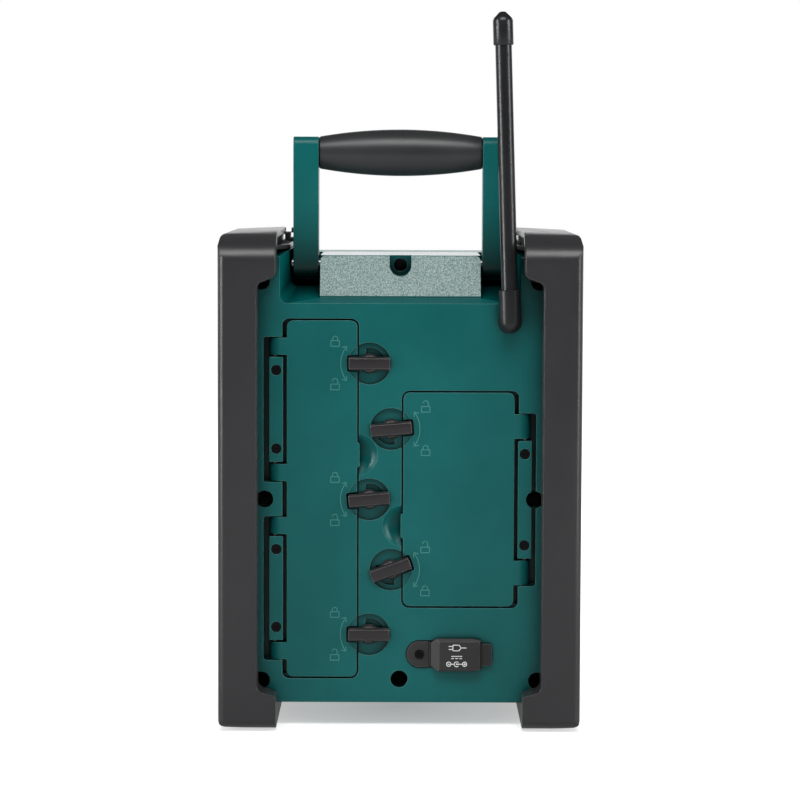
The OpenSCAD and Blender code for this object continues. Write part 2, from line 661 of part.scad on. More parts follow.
module front_housing() color(GREEN) difference() {
    union() {
        difference() {
            intersection() {
                slab_y(y_front, y_seam - 0.02) body_outline(0);
                slab_x(-half_w, half_w) housing_side(0);
            }
            slab_y(y_front + wall, y_seam + 1) body_outline(wall);
        }
        intersection() {
            slab_y(y_front, y_seam - 0.02) body_outline(EPS);
            union() {
                for (c = CASE_SCREWS) rod_y(c.x, c.y, pilot_r + 2.4, y_front + EPS, y_seam - 0.02);
                // raised ring that locates the loudspeaker
                turned_y(0, y_front, speaker_z) polygon([
                    [grille_r + 1.5, EPS], [grille_r + 4, EPS], [grille_r + 4, 6], [grille_r + 1.5, 6]]);
                slab_y(y_front + EPS, y_front + panel_t + 2.6)
                    polygon(box_outline(-panel_w / 2 - 1, panel_w / 2 + 1,
                                        panel_z - panel_h / 2 - 1, panel_z + panel_h / 2 + 1, 5));
            }
        }
    }
    for (c = CASE_SCREWS) rod_y(c.x, c.y, pilot_r, shank_end - 2, y_seam + 1);
    // opening and rebate for the grille
    rod_y(0, speaker_z, speaker_r - 5, y_front - 1, y_front + 10);
    rod_y(0, speaker_z, grille_r + fit, y_front - 1, y_front + 1.2);
    // rebate and opening for the control panel
    slab_y(y_front - 1, y_front + panel_t + 0.05) polygon(panel_outline(-fit));
    slab_y(y_front - 1, y_front + 12) polygon(panel_outline(2.6));
    // groove for the seal
    slab_y(y_seam - 0.75, y_seam + 1) difference() { body_outline(0.7 - 0.1); body_outline(1.9 + 0.1); }
}

module case_seal() color(RUBBER) slab_y(y_seam - 0.7, y_seam - 0.05) difference() {
    body_outline(0.7);
    body_outline(1.9);
}

// ================= bumpers =================

// The bumper from the back, on +X: a cap and a foot, joined by the narrow strip
function bumper_outline() = rounded([
    [cap_x, 0, 1], [cap_x + foot_flat, 0, 10], [bumper_x, foot_slope, bumper_corner_r],
    [bumper_x, z_cap - 7.5, 6], [bumper_x - 1.4, z_cap - cap_slope, 3], [cap_x, z_cap, 0.8],
    [cap_x, z_top - cap_drop, 3.3], [strip_x, z_top - cap_drop - cap_jog, 3.6],
    [strip_x, foot_h + foot_jog, 4.3], [cap_x, foot_h, 1.8]]);

// The bumper from the side: its four edges are rounded as quarters of an ellipse
function bumper_side() = concat(
    quarter(y_rear_end - foot_round_d, foot_round_h, foot_round_d, foot_round_h, -90),
    quarter(y_rear_end - cap_round_d, z_cap - cap_round_h, cap_round_d, cap_round_h, 0),
    quarter(y_front_end + cap_round_d, z_cap - cap_round_h, cap_round_d, cap_round_h, 90),
    quarter(y_front_end + foot_round_d, foot_round_h, foot_round_d, foot_round_h, 180));

// Guard rail over the front of the body, between the cap and the handle's fold
module front_rail() {
    rail_y = y_front + 2;
    difference() {
        block(cap_x - 9.5, cap_x + 1, rail_y, rail_y + 8, z_top + 0.3, z_cap - 0.5);
        block(cap_x - 3.6, cap_x - 0.4, rail_y - 1, rail_y + 9, z_cap - 2.8, z_cap + 1);
        block(cap_x - 8, cap_x - 3.3, rail_y - 1, rail_y + 9, z_top + 4.1, z_top + 6.6);
    }
}

// Sill under the hollow side of the cap; its lip follows the edge of the handle's recess
module cap_sill() {
    edge = recess_floor_w / 2 + 0.8;
    lip = [[cap_x - 0.4, y_back - 1.5], [edge, y_back - recess_lip_d], [edge, y_front + 9]];
    slab_z(z_top + fit, z_top + 1) polygon(concat(lip, [[cap_x + 1, y_front + 9], [cap_x + 1, y_back - 1.5]]));
    slab_z(z_top + 0.9, z_top + 2.3) polygon(concat(lip,
        [[edge + 1.2, y_front + 9], [edge + 1.2, y_back - recess_lip_d - 0.5], [cap_x + 1, y_back - 1.5]]));
}

module bumper() {
    difference() {
        union() {
            intersection() {
                slab_y(y_front_end, y_rear_end) polygon(bumper_outline());
                slab_x(cap_x - 1, bumper_x + 1) polygon(bumper_side());
                slab_z(-1, z_cap + 1)
                    polygon(rounded([[cap_x - 1, y_front_end, 0], [bumper_x, y_front_end, bumper_corner_r],
                                     [bumper_x, y_rear_end, bumper_corner_r], [cap_x - 1, y_rear_end, 0]]));
            }
            front_rail();
        }
        // room for the body
        slab_y(y_front - fit, y_back + fit) polygon(rounded([
            [0, z_bot - fit, 0], [half_w + fit, z_bot - fit, body_r], [half_w + fit, z_top + fit, body_r],
            [0, z_top + fit, 0]]));
        // hollow in the cap's inner side, with ribs, and the slot at its front end
        for (i = [0 : 4])
            block(cap_x - 1, cap_x + cap_hollow, y_back - 4 - 18 * (i + 1) + 1.4, y_back - 4 - 18 * i,
                  z_top - 1, z_cap - cap_wall - 1);
        block(cap_x, cap_x + 1.3, y_front_end - 1, y_front + 28, z_top + 2.8, z_top + 5.8);
        // hollows between the ribs of the side wall
        ribs = floor((z_top - z_bot - 30) / rib_pitch);
        for (i = [0 : ribs - 1])
            block(half_w - 1, bumper_x - 3.2, y_front + 8, y_back - 8,
                  z_bot + 15 + i * rib_pitch + 1.2, z_bot + 15 + (i + 1) * rib_pitch - 1.2);
    }
    cap_sill();
}

module bumper_left() color(DARK) bumper();
module bumper_right() color(DARK) mirror([1, 0, 0]) bumper();

// ================= fasteners =================

module screw(x, z, y_under, y_tip, r_head, r_shank) {
    h = r_head * 0.62;
    difference() {
        rod_y(x, z, r_head, y_under, y_under + h);
        translate([x, y_under + h, z]) for (a = [0, 90]) rotate([0, a, 0])
            block(-r_head * 0.6, r_head * 0.6, -h * 0.45, 1, -r_head * 0.13, r_head * 0.13);
    }
    rod_y(x, z, r_shank, y_tip, y_under + EPS);
}

module case_screws() color(STEEL) for (c = CASE_SCREWS)
    screw(c.x, c.y, head_y + 0.05, shank_end, head_r * (c.z < y_back ? 0.9 : 1), shank_r);

module hinge_screws() color("#2b2b2d") {
    for (z = AUX_HINGES, s = [-1, 1])
        screw(retainer_x(AUX), z + s * retainer_screw_z(aux_hinge_len, aux_arm_w),
              retainer_y - 1.9, pocket_y - wall, small_head_r, small_shank_r);
    for (s = [-1, 1])
        screw(-retainer_x(BATTERY), door_mid_z + s * retainer_screw_z(battery_hinge_len, battery_arm_w),
              retainer_y - 1.9, pocket_y - wall, small_head_r, small_shank_r);
}

// ================= handle =================

module handle_arm() slab_x(arm_x, arm_x + arm_w) union() {
    translate([pivot_y, pivot_z]) circle(r = arm_r);
    polygon(rounded([
        [pivot_y - arm_r, pivot_z, 0], [pivot_y + arm_r, pivot_z, 0],
        [pivot_y + arm_top_d / 2, grip_z - 10, 12], [pivot_y + arm_top_d / 2, grip_z + arm_over, 5],
        [pivot_y - arm_top_d / 2, grip_z + arm_over, 5], [pivot_y - arm_top_d / 2, grip_z - 10, 12]]));
}

module handle_frame() color(GREEN) difference() {
    union() {
        both_sides() handle_arm();
        rod_x(pivot_y, grip_z, grip_bar_d / 2, -arm_x - 1, arm_x + 1);
    }
    both_sides() rod_x(pivot_y, pivot_z, pivot_pin_d / 2 + running, arm_x - 1, arm_x + arm_w + 1);
}

// The grip is a barrel: its radius follows a circular arc from end to end
module handle_grip() color(RUBBER) {
    half = arm_x - fit;
    rise = (grip_mid_d - grip_end_d) / 2;
    arc_r = (half * half + rise * rise) / (2 * rise);
    steps = 24;
    translate([-half, pivot_y, grip_z]) rotate([0, 90, 0]) rotate_extrude() polygon(concat(
        [[grip_bar_d / 2 + running, 0]],
        [for (i = [0 : steps]) let (x = half * (2 * i / steps - 1))
            [grip_mid_d / 2 - arc_r + sqrt(arc_r * arc_r - x * x), half + x]],
        [[grip_bar_d / 2 + running, 2 * half]]));
}

module handle_pins() color(STEEL) both_sides()
    rod_x(pivot_y, pivot_z, pivot_pin_d / 2, block_w / 2 - wall + 0.2, recess_floor_w / 2 + wall - 0.2);

// ================= doors =================

function retainer_x(d) = d[1] + retainer_gap + retainer_w / 2;
function retainer_screw_z(len, arm) = len / 2 - arm - retainer_end - retainer_screw_inset;

// A lever's outline, grown at its ends and its sides, used for the lever and for the doors' notches
module lever_outline(ends, sides)
    polygon(box_outline(-lever_l / 2 - ends, lever_l / 2 + ends, -lever_w / 2 - sides, lever_w / 2 + sides, 1));

// A hinge arm leaves the door in a curve that runs into its knuckle
module hinge_arm(d, z0, z1) {
    cy = y_back - arm_bend_r;
    cx = hinge_x - sqrt(pow(arm_bend_r - knuckle_r, 2) - pow(hinge_y - cy, 2));
    turn = atan2(hinge_x - cx, hinge_y - cy);
    rod_z(hinge_x, hinge_y, knuckle_r, z0, z1);
    slab_z(z0, z1) polygon(concat(
        [[d[1] - 4, door_y], [d[1] - 4, y_back]],
        [for (i = [0 : 12]) let (t = turn * i / 12) [cx + arm_bend_r * sin(t), cy + arm_bend_r * cos(t)]],
        [[hinge_x, hinge_y], [hinge_x - knuckle_r + 0.1, hinge_y + 0.5], [d[1] + 2, door_y]]));
}

module door(d, hole, hinges, hinge_len, arm, scoop_z, side) {
    difference() {
        union() {
            slab_y(door_y, y_back) union() {
                polygon(box_outline(d[0], d[1], d[2], d[3], door_r));
                polygon(box_outline(d[0] - tab_reach, d[0] + 4, scoop_z - tab_w / 2, scoop_z + tab_w / 2, 1));
            }
            for (z = hinges, s = [-1, 1]) let (mid = z + s * (hinge_len - arm) / 2)
                hinge_arm(d, mid - arm / 2, mid + arm / 2);
            // ring that plugs into the opening and carries the seal
            slab_y(door_y - plug_h, door_y + EPS) difference() {
                polygon(box_outline(hole[0] + seal_t + 0.3, hole[1] - seal_t - 0.3,
                                    hole[2] + seal_t + 0.3, hole[3] - seal_t - 0.3, 1.6));
                polygon(box_outline(hole[0] + seal_t + 0.3 + plug_t, hole[1] - seal_t - 0.3 - plug_t,
                                    hole[2] + seal_t + 0.3 + plug_t, hole[3] - seal_t - 0.3 - plug_t, 1));
            }
        }
        for (z = hinges)
            rod_z(hinge_x, hinge_y, hinge_pin_d / 2 + running / 2,
                  z - hinge_len / 2 - 1, z + hinge_len / 2 + 1);
        // the dishes run on into the door, which is notched under each lever's end
        for (l = LATCHES) if (l[3] == side) {
            rod_y(l[0] * side, l[1], dish_r, y_back - door_dish_d, y_back + 1);
            slab_y(door_y - 1, y_back + 1)
                translate([l[0] * side, l[1]]) rotate(-l[2] * side)
                    lever_outline(lever_end_gap, lever_side_gap);
        }
    }
}

module whole_device_door()
    door(AUX, AUX_HOLE, AUX_HINGES, aux_hinge_len, aux_arm_w, door_mid_z + aux_scoop_z, 1);

// The device door is a panel with a rail welded along its free edge, which the notches cut through
module rail_zone() block(AUX[0] - tab_reach - 1, AUX[0] + aux_rail_w,
                         door_y - 0.5, y_back + 1, AUX[2] - 1, AUX[3] + 1);

module device_door() color(GREEN) difference() {
    whole_device_door();
    rail_zone();
}

module device_door_rail() color(GREEN) intersection() {
    whole_device_door();
    rail_zone();
}

module battery_door() color(GREEN) mirror([1, 0, 0])
    door(BATTERY, BATTERY_HOLE, BATTERY_HINGES, battery_hinge_len, battery_arm_w,
         door_mid_z - battery_scoop_z, -1);

module door_seal(hole) slab_y(door_y - plug_h + 0.2, door_y - 0.5) difference() {
    polygon(box_outline(hole[0] + 0.3, hole[1] - 0.3, hole[2] + 0.3, hole[3] - 0.3, 1.8));
    polygon(box_outline(hole[0] + seal_t + 0.3, hole[1] - seal_t - 0.3,
                        hole[2] + seal_t + 0.3, hole[3] - seal_t - 0.3, 1.6));
}

module device_door_seal() color(RUBBER) door_seal(AUX_HOLE);
module battery_door_seal() color(RUBBER) mirror([1, 0, 0]) door_seal(BATTERY_HOLE);

// Each hinge arm has its own pin, which runs on into the retainer
module hinge_pins(hinges, len, arm) for (z = hinges, s = [-1, 1])
    let (mid = z + s * (len - arm - pin_grip) / 2, half = (arm + pin_grip - 1) / 2)
        rod_z(hinge_x, hinge_y, hinge_pin_d / 2, mid - half, mid + half);

module device_hinge_pins() color(STEEL) hinge_pins(AUX_HINGES, aux_hinge_len, aux_arm_w);
module battery_hinge_pins() color(STEEL) mirror([1, 0, 0])
    hinge_pins(BATTERY_HINGES, battery_hinge_len, battery_arm_w);

// Bar that traps the hinge pins, held by two screws
module hinge_retainer(d, z, len, arm) {
    half = len / 2 - arm - retainer_end;
    x = retainer_x(d);
    screw_z = half - retainer_screw_inset;
    difference() {
        slab_y(pocket_y + 0.05, retainer_y)
            polygon(box_outline(x - retainer_w / 2, x + retainer_w / 2, z - half, z + half, 0.5));
        for (s = [-1, 1]) {
            rod_y(x, z + s * screw_z, small_head_r + 0.2, retainer_y - 1.95, y_back + 1);
            rod_y(x, z + s * screw_z, small_shank_r + running, pocket_y - 1, y_back);
            let (mid = z + s * (half + 0.5 - pin_grip / 2), reach = (pin_grip + 1) / 2)
                rod_z(hinge_x, hinge_y, hinge_pin_d / 2 + running, mid - reach, mid + reach);
        }
    }
}

module device_hinge_retainers() color(GREEN)
    for (z = AUX_HINGES) hinge_retainer(AUX, z, aux_hinge_len, aux_arm_w);

module battery_hinge_retainer() color(GREEN) mirror([1, 0, 0]) difference() {
    hinge_retainer(BATTERY, door_mid_z, battery_hinge_len, battery_arm_w);
    rod_y(screw_mid_x, door_mid_z, bore_r, pocket_y - 1, y_back + 1);
}

// ================= latches =================

module latch(l) translate([l[0], 0, l[1]]) rotate([0, l[2] + (l[3] > 0 ? 0 : 180), 0]) {
    base = dish_y + 0.35;
    under = y_back + lever_clear;
    top = y_back + lever_h;
    difference() {
        union() {
            // the lever is a bar with sloping flanks, which lies over the door's edge
            intersection() {
                slab_y(under, top) lever_outline(0, 0);
                slab_x(-lever_l, lever_l) polygon([
                    [under, -lever_w / 2], [under + 1.1, -lever_w / 2],
                    [top - 0.2, -lever_w / 2 + lever_bevel], [top, 0], [top - 0.2, lever_w / 2 - lever_bevel],
                    [under + 1.1, lever_w / 2], [under, lever_w / 2]]);
            }
            turned_y(0, 0, 0) polygon([
                [0, base], [hub_r, base], [hub_r, y_back - 0.7],
                [hub_r - 1.1, y_back + 0.7], [0, y_back + 0.7]]);
            // stem with its two snap claws behind the wall
            rod_y(0, 0, stem_r, frame_y - 2.6, base + EPS);
            turned_y(0, 0, 0) polygon([
                [0, frame_y - 2.6], [stem_r, frame_y - 2.6], [stem_r + 0.9, frame_y - 0.9],
                [stem_r + 0.9, frame_y - 0.2], [0, frame_y - 0.2]]);
            // lug that runs in the stop pocket
            block(-pocket_r + 0.6, -stem_r + 1, dish_y - 1.1, base + EPS, -lug_w / 2, lug_w / 2);
        }
        block(-0.7, 0.7, frame_y - 3, frame_y + 2, -stem_r - 2, stem_r + 2);
    }
}

module latch_1() color(DARK) latch(LATCHES[0]);
module latch_2() color(DARK) latch(LATCHES[1]);
module latch_3() color(DARK) latch(LATCHES[2]);
module latch_4() color(DARK) latch(LATCHES[3]);
module latch_5() color(DARK) latch(LATCHES[4]);

// ================= battery tray and device bay =================

module battery_tray() color("#2f3133") mirror([1, 0, 0]) {
    y1 = frame_y - 0.05;
    y0 = y1 - tray_d;
    z0 = door_mid_z - cell_row_h / 2;
    z1 = door_mid_z + cell_row_h / 2;
    difference() {
        block(tray_in[0] - tray_wall, tray_in[1] + tray_wall, y0 - tray_wall, y1,
              z0 - tray_wall, z1 + tray_wall);
        block(tray_in[0], tray_in[1], y0, y1 + 1, z0, z1);
    }
    // low cradle ribs between the cells
    for (i = [1 : cell_count - 1])
        block(tray_in[0] + spring_l + 2, tray_in[1] - spring_l - 2, y0 - EPS, y0 + 3,
              z0 + i * cell_row_h / cell_count - 0.6, z0 + i * cell_row_h / cell_count + 0.6);
    // posts that carry the main board
    for (x = [tray_in[0] + 4, tray_in[1] - 4], z = [z0 + 5, z1 - 5])
        rod_y(x, z, 3, y0 - tray_wall - 5, y0 - tray_wall + EPS);
}

function cell_y() = frame_y - 0.05 - tray_d + cell_d / 2 + 0.6;
function cell_z(i) = door_mid_z - cell_row_h / 2 + (i + 0.5) * cell_row_h / cell_count;

// Plates at both ends of the tray, linked so that the cells are in series
module battery_contacts() color(STEEL) mirror([1, 0, 0]) {
    half = 9;
    for (i = [0, 2])
        block(tray_in[0] + 0.02, tray_in[0] + 0.42, cell_y() - half, cell_y() + half,
              cell_z(i) - half, cell_z(i + 1) + half);
    for (r = [[0, 0], [1, 2], [3, 3]])
        block(tray_in[1] - 0.42, tray_in[1] - 0.02, cell_y() - half, cell_y() + half,
              cell_z(r[0]) - half, cell_z(r[1]) + half);
}

// A conical spring, drawn as its stacked coils
module cell_spring() rotate_extrude() polygon(concat(
    [for (i = [0 : 12]) let (t = i / 12) [6.4 - 3 * t + 0.45 * cos(i * 180), spring_l * t]],
    [for (i = [12 : -1 : 0]) let (t = i / 12) [5.2 - 3 * t + 0.45 * cos(i * 180), spring_l * t]]));

module battery_springs() color(STEEL) mirror([1, 0, 0])
    for (i = [0 : cell_count - 1])
        if (i % 2 == 0) translate([tray_in[0] + 0.44, cell_y(), cell_z(i)]) rotate([0, 90, 0]) cell_spring();
        else translate([tray_in[1] - 0.44, cell_y(), cell_z(i)]) rotate([0, -90, 0]) cell_spring();

module device_bay() color("#2f3133") {
    y1 = frame_y - 0.05;
    y0 = y1 - bay_d;
    difference() {
        block(AUX_HOLE[0] - tray_wall, AUX_HOLE[1] + tray_wall, y0 - tray_wall, y1,
              AUX_HOLE[2] - tray_wall, AUX_HOLE[3] + tray_wall);
        block(AUX_HOLE[0], AUX_HOLE[1], y0, y1 + 1, AUX_HOLE[2], AUX_HOLE[3]);
        rod_y((AUX_HOLE[0] + AUX_HOLE[1]) / 2, AUX_HOLE[2] + 14, 4.6, y0 - tray_wall - 1, y0 + 1);
    }
}

module aux_jack() color("#1f2022") difference() {
    x = (AUX_HOLE[0] + AUX_HOLE[1]) / 2;
    z = AUX_HOLE[2] + 14;
    y0 = frame_y - 0.05 - bay_d;
    union() {
        rod_y(x, z, 4.5, y0 - tray_wall - 2, y0 + 1.4);
        block(x - 6, x + 6, y0 - tray_wall - 12, y0 - tray_wall - 0.1, z - 6, z + 6);
    }
    rod_y(x, z, 1.8, y0 - 11, y0 + 3);
}

// ================= antenna =================

module antenna_base() color(DARK) {
    rod_y(-antenna_x, antenna_z, base_r, y_back - 0.95, y_back - 0.15);
    rod_y(-antenna_x, antenna_z, stud_r, y_back - 9, y_back + 5);
}

module antenna_frame() translate([-antenna_x, antenna_y, antenna_z]) rotate([0, antenna_lean, 0]) children();

module antenna_foot() color(DARK) difference() {
    antenna_frame() rotate_extrude() polygon(concat(
        [for (i = [0 : 12]) let (a = -90 + 90 * i / 12) sleeve_d / 2 * [cos(a), sin(a)]],
        [[sleeve_d / 2, sleeve_l - 0.5], [sleeve_d / 2 - 0.5, sleeve_l],
         [mast_d / 2 + 0.05, sleeve_l], [mast_d / 2 + 0.05, sleeve_l - 6], [0, sleeve_l - 6]]));
    rod_y(-antenna_x, antenna_z, stud_r + running, y_back - 1, y_back + 5.3);
}

module antenna_mast() color(DARK) antenna_frame()
    translate([0, 0, sleeve_l - 5.9]) cylinder(d = mast_d, h = antenna_l - tip_l / 2 - sleeve_l + 5.9);

module antenna_tip() color("#2a2a2b") antenna_frame() rotate_extrude() polygon([
    [0, antenna_l - tip_l / 2 + 0.1], [mast_d / 2 + 0.05, antenna_l - tip_l / 2 + 0.1],
    [mast_d / 2 + 0.05, antenna_l - tip_l], [tip_d / 2 - 0.3, antenna_l - tip_l],
    [tip_d / 2, antenna_l - tip_l + 0.6], [tip_d / 2, antenna_l - 4.8],
    [tip_d / 2 - 0.6, antenna_l - 3.4], [1.6, antenna_l - 0.3], [0, antenna_l]]);

// ================= power inlet =================

// D-shaped seat, grown by gap; the straight side runs past the hinge by run
module anchor_outline(gap, run) {
    r = anchor_h / 2;
    translate([anchor_x + r, z_inlet]) circle(r = r + gap);
    translate([anchor_x + r, z_inlet - r - gap]) square([flap_hinge_x - anchor_x - r + run, 2 * (r + gap)]);
}

module inlet_cover_anchor() color(RUBBER) mirror([1, 0, 0]) difference() {
    slab_y(y_back - tab_recess + 0.05, sheet_y) intersection() {
        anchor_outline(0, 0);
        square([flap_hinge_x - flap_bead_r - 0.15, z_top]);
    }
    rod_y(anchor_screw_x, z_inlet, small_shank_r + running, y_back - 3, y_back + 3);
    rod_y(anchor_screw_x, z_inlet, inlet_head_r + 0.15, y_back + 0.05, y_back + 3);
}

module inlet_cover_flap() color(RUBBER) mirror([1, 0, 0]) {
    neck_h = anchor_h - 1.4;
    low = z_inlet - flap_h / 2;
    high = z_inlet + flap_h / 2;
    top = y_back + flap_t;
    // the bead in which the cover bends, and the web behind it
    rod_z(flap_hinge_x, flap_hinge_y, flap_bead_r, z_inlet - neck_h / 2, z_inlet + neck_h / 2);
    block(flap_hinge_x, flap_x0 + 1, flap_hinge_y - 0.3, flap_hinge_y + 0.3,
          z_inlet - neck_h / 2, z_inlet + neck_h / 2);
    // raised block with cut corners and bevelled edges
    intersection() {
        slab_y(y_back + 0.3, top) polygon([
            [flap_x0, low + flap_corner], [flap_x0 + 1.5 * flap_corner, low],
            [flap_x1 - 1.5 * flap_corner, low], [flap_x1, low + 0.7 * flap_corner],
            [flap_x1, high - 0.4 * flap_corner], [flap_x1 - 1.6 * flap_corner, high],
            [flap_x0 + 1.2 * flap_corner, high], [flap_x0, high - 0.9 * flap_corner]]);
        slab_x(flap_x0 - 1, flap_x1 + 1) polygon([
            [y_back, low], [top - 1, low], [top + EPS, low + 0.9], [top + EPS, high - 1.4], [top - 1.6, high],
            [y_back, high]]);
        slab_z(0, z_top) polygon([
            [flap_x0, y_back], [flap_x0, y_back + 1.2], [flap_x0 + flap_bevel, top + EPS],
            [flap_x1 - 0.9, top + EPS], [flap_x1, top - 1.4], [flap_x1, y_back]]);
    }
    // pull tab and the plug that closes the inlet
    slab_y(y_back + 0.3, y_back + 2.2)
        polygon(box_outline(flap_x1 - 3, flap_x1 + 5.6, z_inlet - 5.8, z_inlet + 5.8, 1));
    rod_y(inlet_x, z_inlet, inlet_r - 0.5, y_back - 2, y_back + 0.3 + EPS);
}

module inlet_cover_screw() color("#2b2b2d")
    screw(-anchor_screw_x, z_inlet, y_back + 0.1, y_back - 5, inlet_head_r, small_shank_r);

module dc_jack() color("#1f2022") mirror([1, 0, 0]) {
    face = y_back - wall - 0.05;
    difference() {
        union() {
            block(inlet_x - 7, inlet_x + 7, face - 12, face, z_inlet - 6.5, z_inlet + 6.5);
            rod_y(inlet_x, z_inlet, inlet_r - 0.2, face - EPS, y_back - 2.3);
        }
        rod_y(inlet_x, z_inlet, 2.85, face - 9, y_back);
    }
    rod_y(inlet_x, z_inlet, 1, face - 9 - EPS, y_back - 3);
}

// ================= front: controls =================

function panel_outline(inset) = box_outline(
    -panel_w / 2 + inset, panel_w / 2 - inset, panel_z - panel_h / 2 + inset, panel_z + panel_h / 2 - inset, 6);

module window_shape(inset) polygon(box_outline(
    -window_w / 2 + inset, window_w / 2 - inset,
    z_window - window_h / 2 + inset, z_window + window_h / 2 - inset, 3));

module control_panel() color("#232426") {
    difference() {
        slab_y(y_front, y_front + panel_t) polygon(panel_outline(0));
        slab_y(y_front - 1, y_front + panel_t + 1) window_shape(1.5);
        slab_y(y_front - 1, y_front + 1.6 + 0.05) window_shape(0);
        for (x = BUTTON_X) slab_y(y_front - 1, y_front + panel_t + 1) polygon(box_outline(
            x - button_w / 2 - 0.35, x + button_w / 2 + 0.35,
            z_buttons - button_h / 2 - 0.35, z_buttons + button_h / 2 + 0.35, 1.8));
        for (s = [-1, 1]) rod_y(s * knob_x, z_window, shaft_r + 1, y_front - 1, y_front + 4);
    }
    for (x = [-knob_x - 10, -10, 10, knob_x + 10])
        rod_y(x, panel_z - 7, 2.4, y_front + panel_t - EPS, board_y - 0.05);
}

module display_lens() color([0.1, 0.12, 0.13]) slab_y(y_front, y_front + 1.6) window_shape(0.1);

module display_module() color("#8a9a86") {
    slab_y(y_front + panel_t + 0.05, board_y - 0.05)
        polygon(box_outline(-window_w / 2 - 2, window_w / 2 + 2, z_window - window_h / 2 - 2,
                            z_window + window_h / 2 + 2, 1));
}

module control_board() color("#2f6b3b") {
    slab_y(board_y, board_y + 1.6) polygon(box_outline(
        -panel_w / 2 + 6, panel_w / 2 - 6, panel_z - panel_h / 2 + 6, panel_z + panel_h / 2 - 6, 2));
    for (x = BUTTON_X)
        block(x - 3, x + 3, board_y - 4, board_y + EPS, z_buttons - 3, z_buttons + 3);
    for (x = [-30, 0, 30])
        block(x - 5, x + 5, board_y + 1.6 - EPS, board_y + 4, panel_z - 8, panel_z + 4);
}

module encoders() color(STEEL) for (s = [-1, 1]) difference() {
    block(s * knob_x - 6, s * knob_x + 6, y_front + panel_t + 3, board_y - 0.05, z_window - 6, z_window + 6);
    rod_y(s * knob_x, z_window, shaft_r + running, y_front, board_y - 1);
}

// A knob with a grooved rim; its flutes are equal cuts round the edge
module knob(x) {
    flutes = 18;
    difference() {
        turned_y(x, knob_y, z_window) polygon(rounded([
            [0, 0, 0], [knob_d / 2 - 1.5, 0, 1.2], [knob_d / 2, 8.4, 0.5], [0, 8.4, 0]]));
        turned_y(x, knob_y - EPS, z_window)
            polygon([[0, 0], [knob_d / 2 - 4.5, 0], [knob_d / 2 - 5, 0.7], [0, 0.9]]);
        for (i = [0 : flutes - 1]) translate([x, 0, z_window]) rotate([0, 360 * i / flutes, 0])
            rod_y(knob_d / 2 + 0.5, 0, 1.2, knob_y - 1, knob_y + 7.2);
        rod_y(x, z_window, shaft_r + 0.02, knob_y + 2.5, knob_y + 9);
    }
}

module volume_knob() color("#2a2b2d") knob(knob_x);
module tuning_knob() color("#2a2b2d") knob(-knob_x);
module volume_shaft() color(STEEL) rod_y(knob_x, z_window, shaft_r, knob_y + 2.6, board_y - 1.5);
module tuning_shaft() color(STEEL) rod_y(-knob_x, z_window, shaft_r, knob_y + 2.6, board_y - 1.5);

// A push button: a rounded cap, a flange behind the panel and a plunger on its switch
module button(x) {
    slab_y(y_front - 1.6, y_front + panel_t + 1.6) polygon(box_outline(
        x - button_w / 2, x + button_w / 2, z_buttons - button_h / 2, z_buttons + button_h / 2, 1.5));
    slab_y(y_front + panel_t + 0.3, y_front + panel_t + 1.6) polygon(box_outline(
        x - button_w / 2 - 1.2, x + button_w / 2 + 1.2,
        z_buttons - button_h / 2 - 1.2, z_buttons + button_h / 2 + 1.2, 2));
    rod_y(x, z_buttons, 1.6, y_front + panel_t + 1.5, board_y - 4 - button_travel - 0.3);
}

module button_1() color(RUBBER) button(BUTTON_X[0]);
module button_2() color(RUBBER) button(BUTTON_X[1]);
module button_3() color(RUBBER) button(BUTTON_X[2]);
module button_4() color(RUBBER) button(BUTTON_X[3]);
module button_5() color(RUBBER) button(BUTTON_X[4]);
module button_6() color(RUBBER) button(BUTTON_X[5]);

// ================= front: loudspeaker =================

// Height of the grille's dome at radius r
function dome(r) = grille_rise * (1 - pow(r / grille_r, 2));

// Moulded grille: concentric rings on six spokes, domed outwards
module speaker_grille() color("#1c1d1e") {
    pitch = (grille_r - 3) / grille_rings;
    bar = pitch * 0.5;
    turned_y(0, y_front, speaker_z) polygon([
        [grille_r - 3.4, -0.9], [grille_r - 0.6, -0.9], [grille_r, -0.4], [grille_r, 1.1],
        [grille_r - 3.4, 1.1]]);
    for (i = [0 : grille_rings - 1]) let (r0 = i * pitch, r1 = r0 + bar)
        turned_y(0, y_front, speaker_z) polygon([
            [r0, -dome(r0) - 0.8], [r1, -dome(r1) - 0.8], [r1, -dome(r1) + 0.8], [r0, -dome(r0) + 0.8]]);
    intersection() {
        turned_y(0, y_front, speaker_z) polygon(concat(
            [for (i = [0 : 12]) let (r = (grille_r - 2) * i / 12) [r, -dome(r) - 0.4]],
            [for (i = [12 : -1 : 0]) let (r = (grille_r - 2) * i / 12) [r, -dome(r) + 1.2]]));
        translate([0, 0, speaker_z]) for (a = [0, 60, 120]) rotate([0, a, 0])
            block(-grille_r, grille_r, y_front - 10, y_front + 5, -1, 1);
    }
}

module speaker_frame() color("#3b3d40") difference() {
    turned_y(0, speaker_y, speaker_z) polygon([
        [speaker_r - 7, 0], [speaker_r, 0], [speaker_r, 2], [speaker_r - 5, 2],
        [30, 22], [30, 24], [12, 24], [12, 22.4], [28, 22.4], [speaker_r - 8, 1.4]]);
    // windows in the basket
    translate([0, 0, speaker_z]) for (i = [0 : 5]) rotate([0, 30 + 60 * i, 0])
        slab_y(speaker_y + 4, speaker_y + 21) polygon([[22, -7], [speaker_r, -12], [speaker_r, 12], [22, 7]]);
}

module speaker_magnet() color("#55585c") difference() {
    turned_y(0, speaker_y + 24.05, speaker_z) polygon([
        [0, 0], [32, 0], [32, 2], [30, 2], [30, 12], [32, 12], [32, 14], [0, 14]]);
    rod_y(0, speaker_z, 9, speaker_y + 23, speaker_y + 32);
}

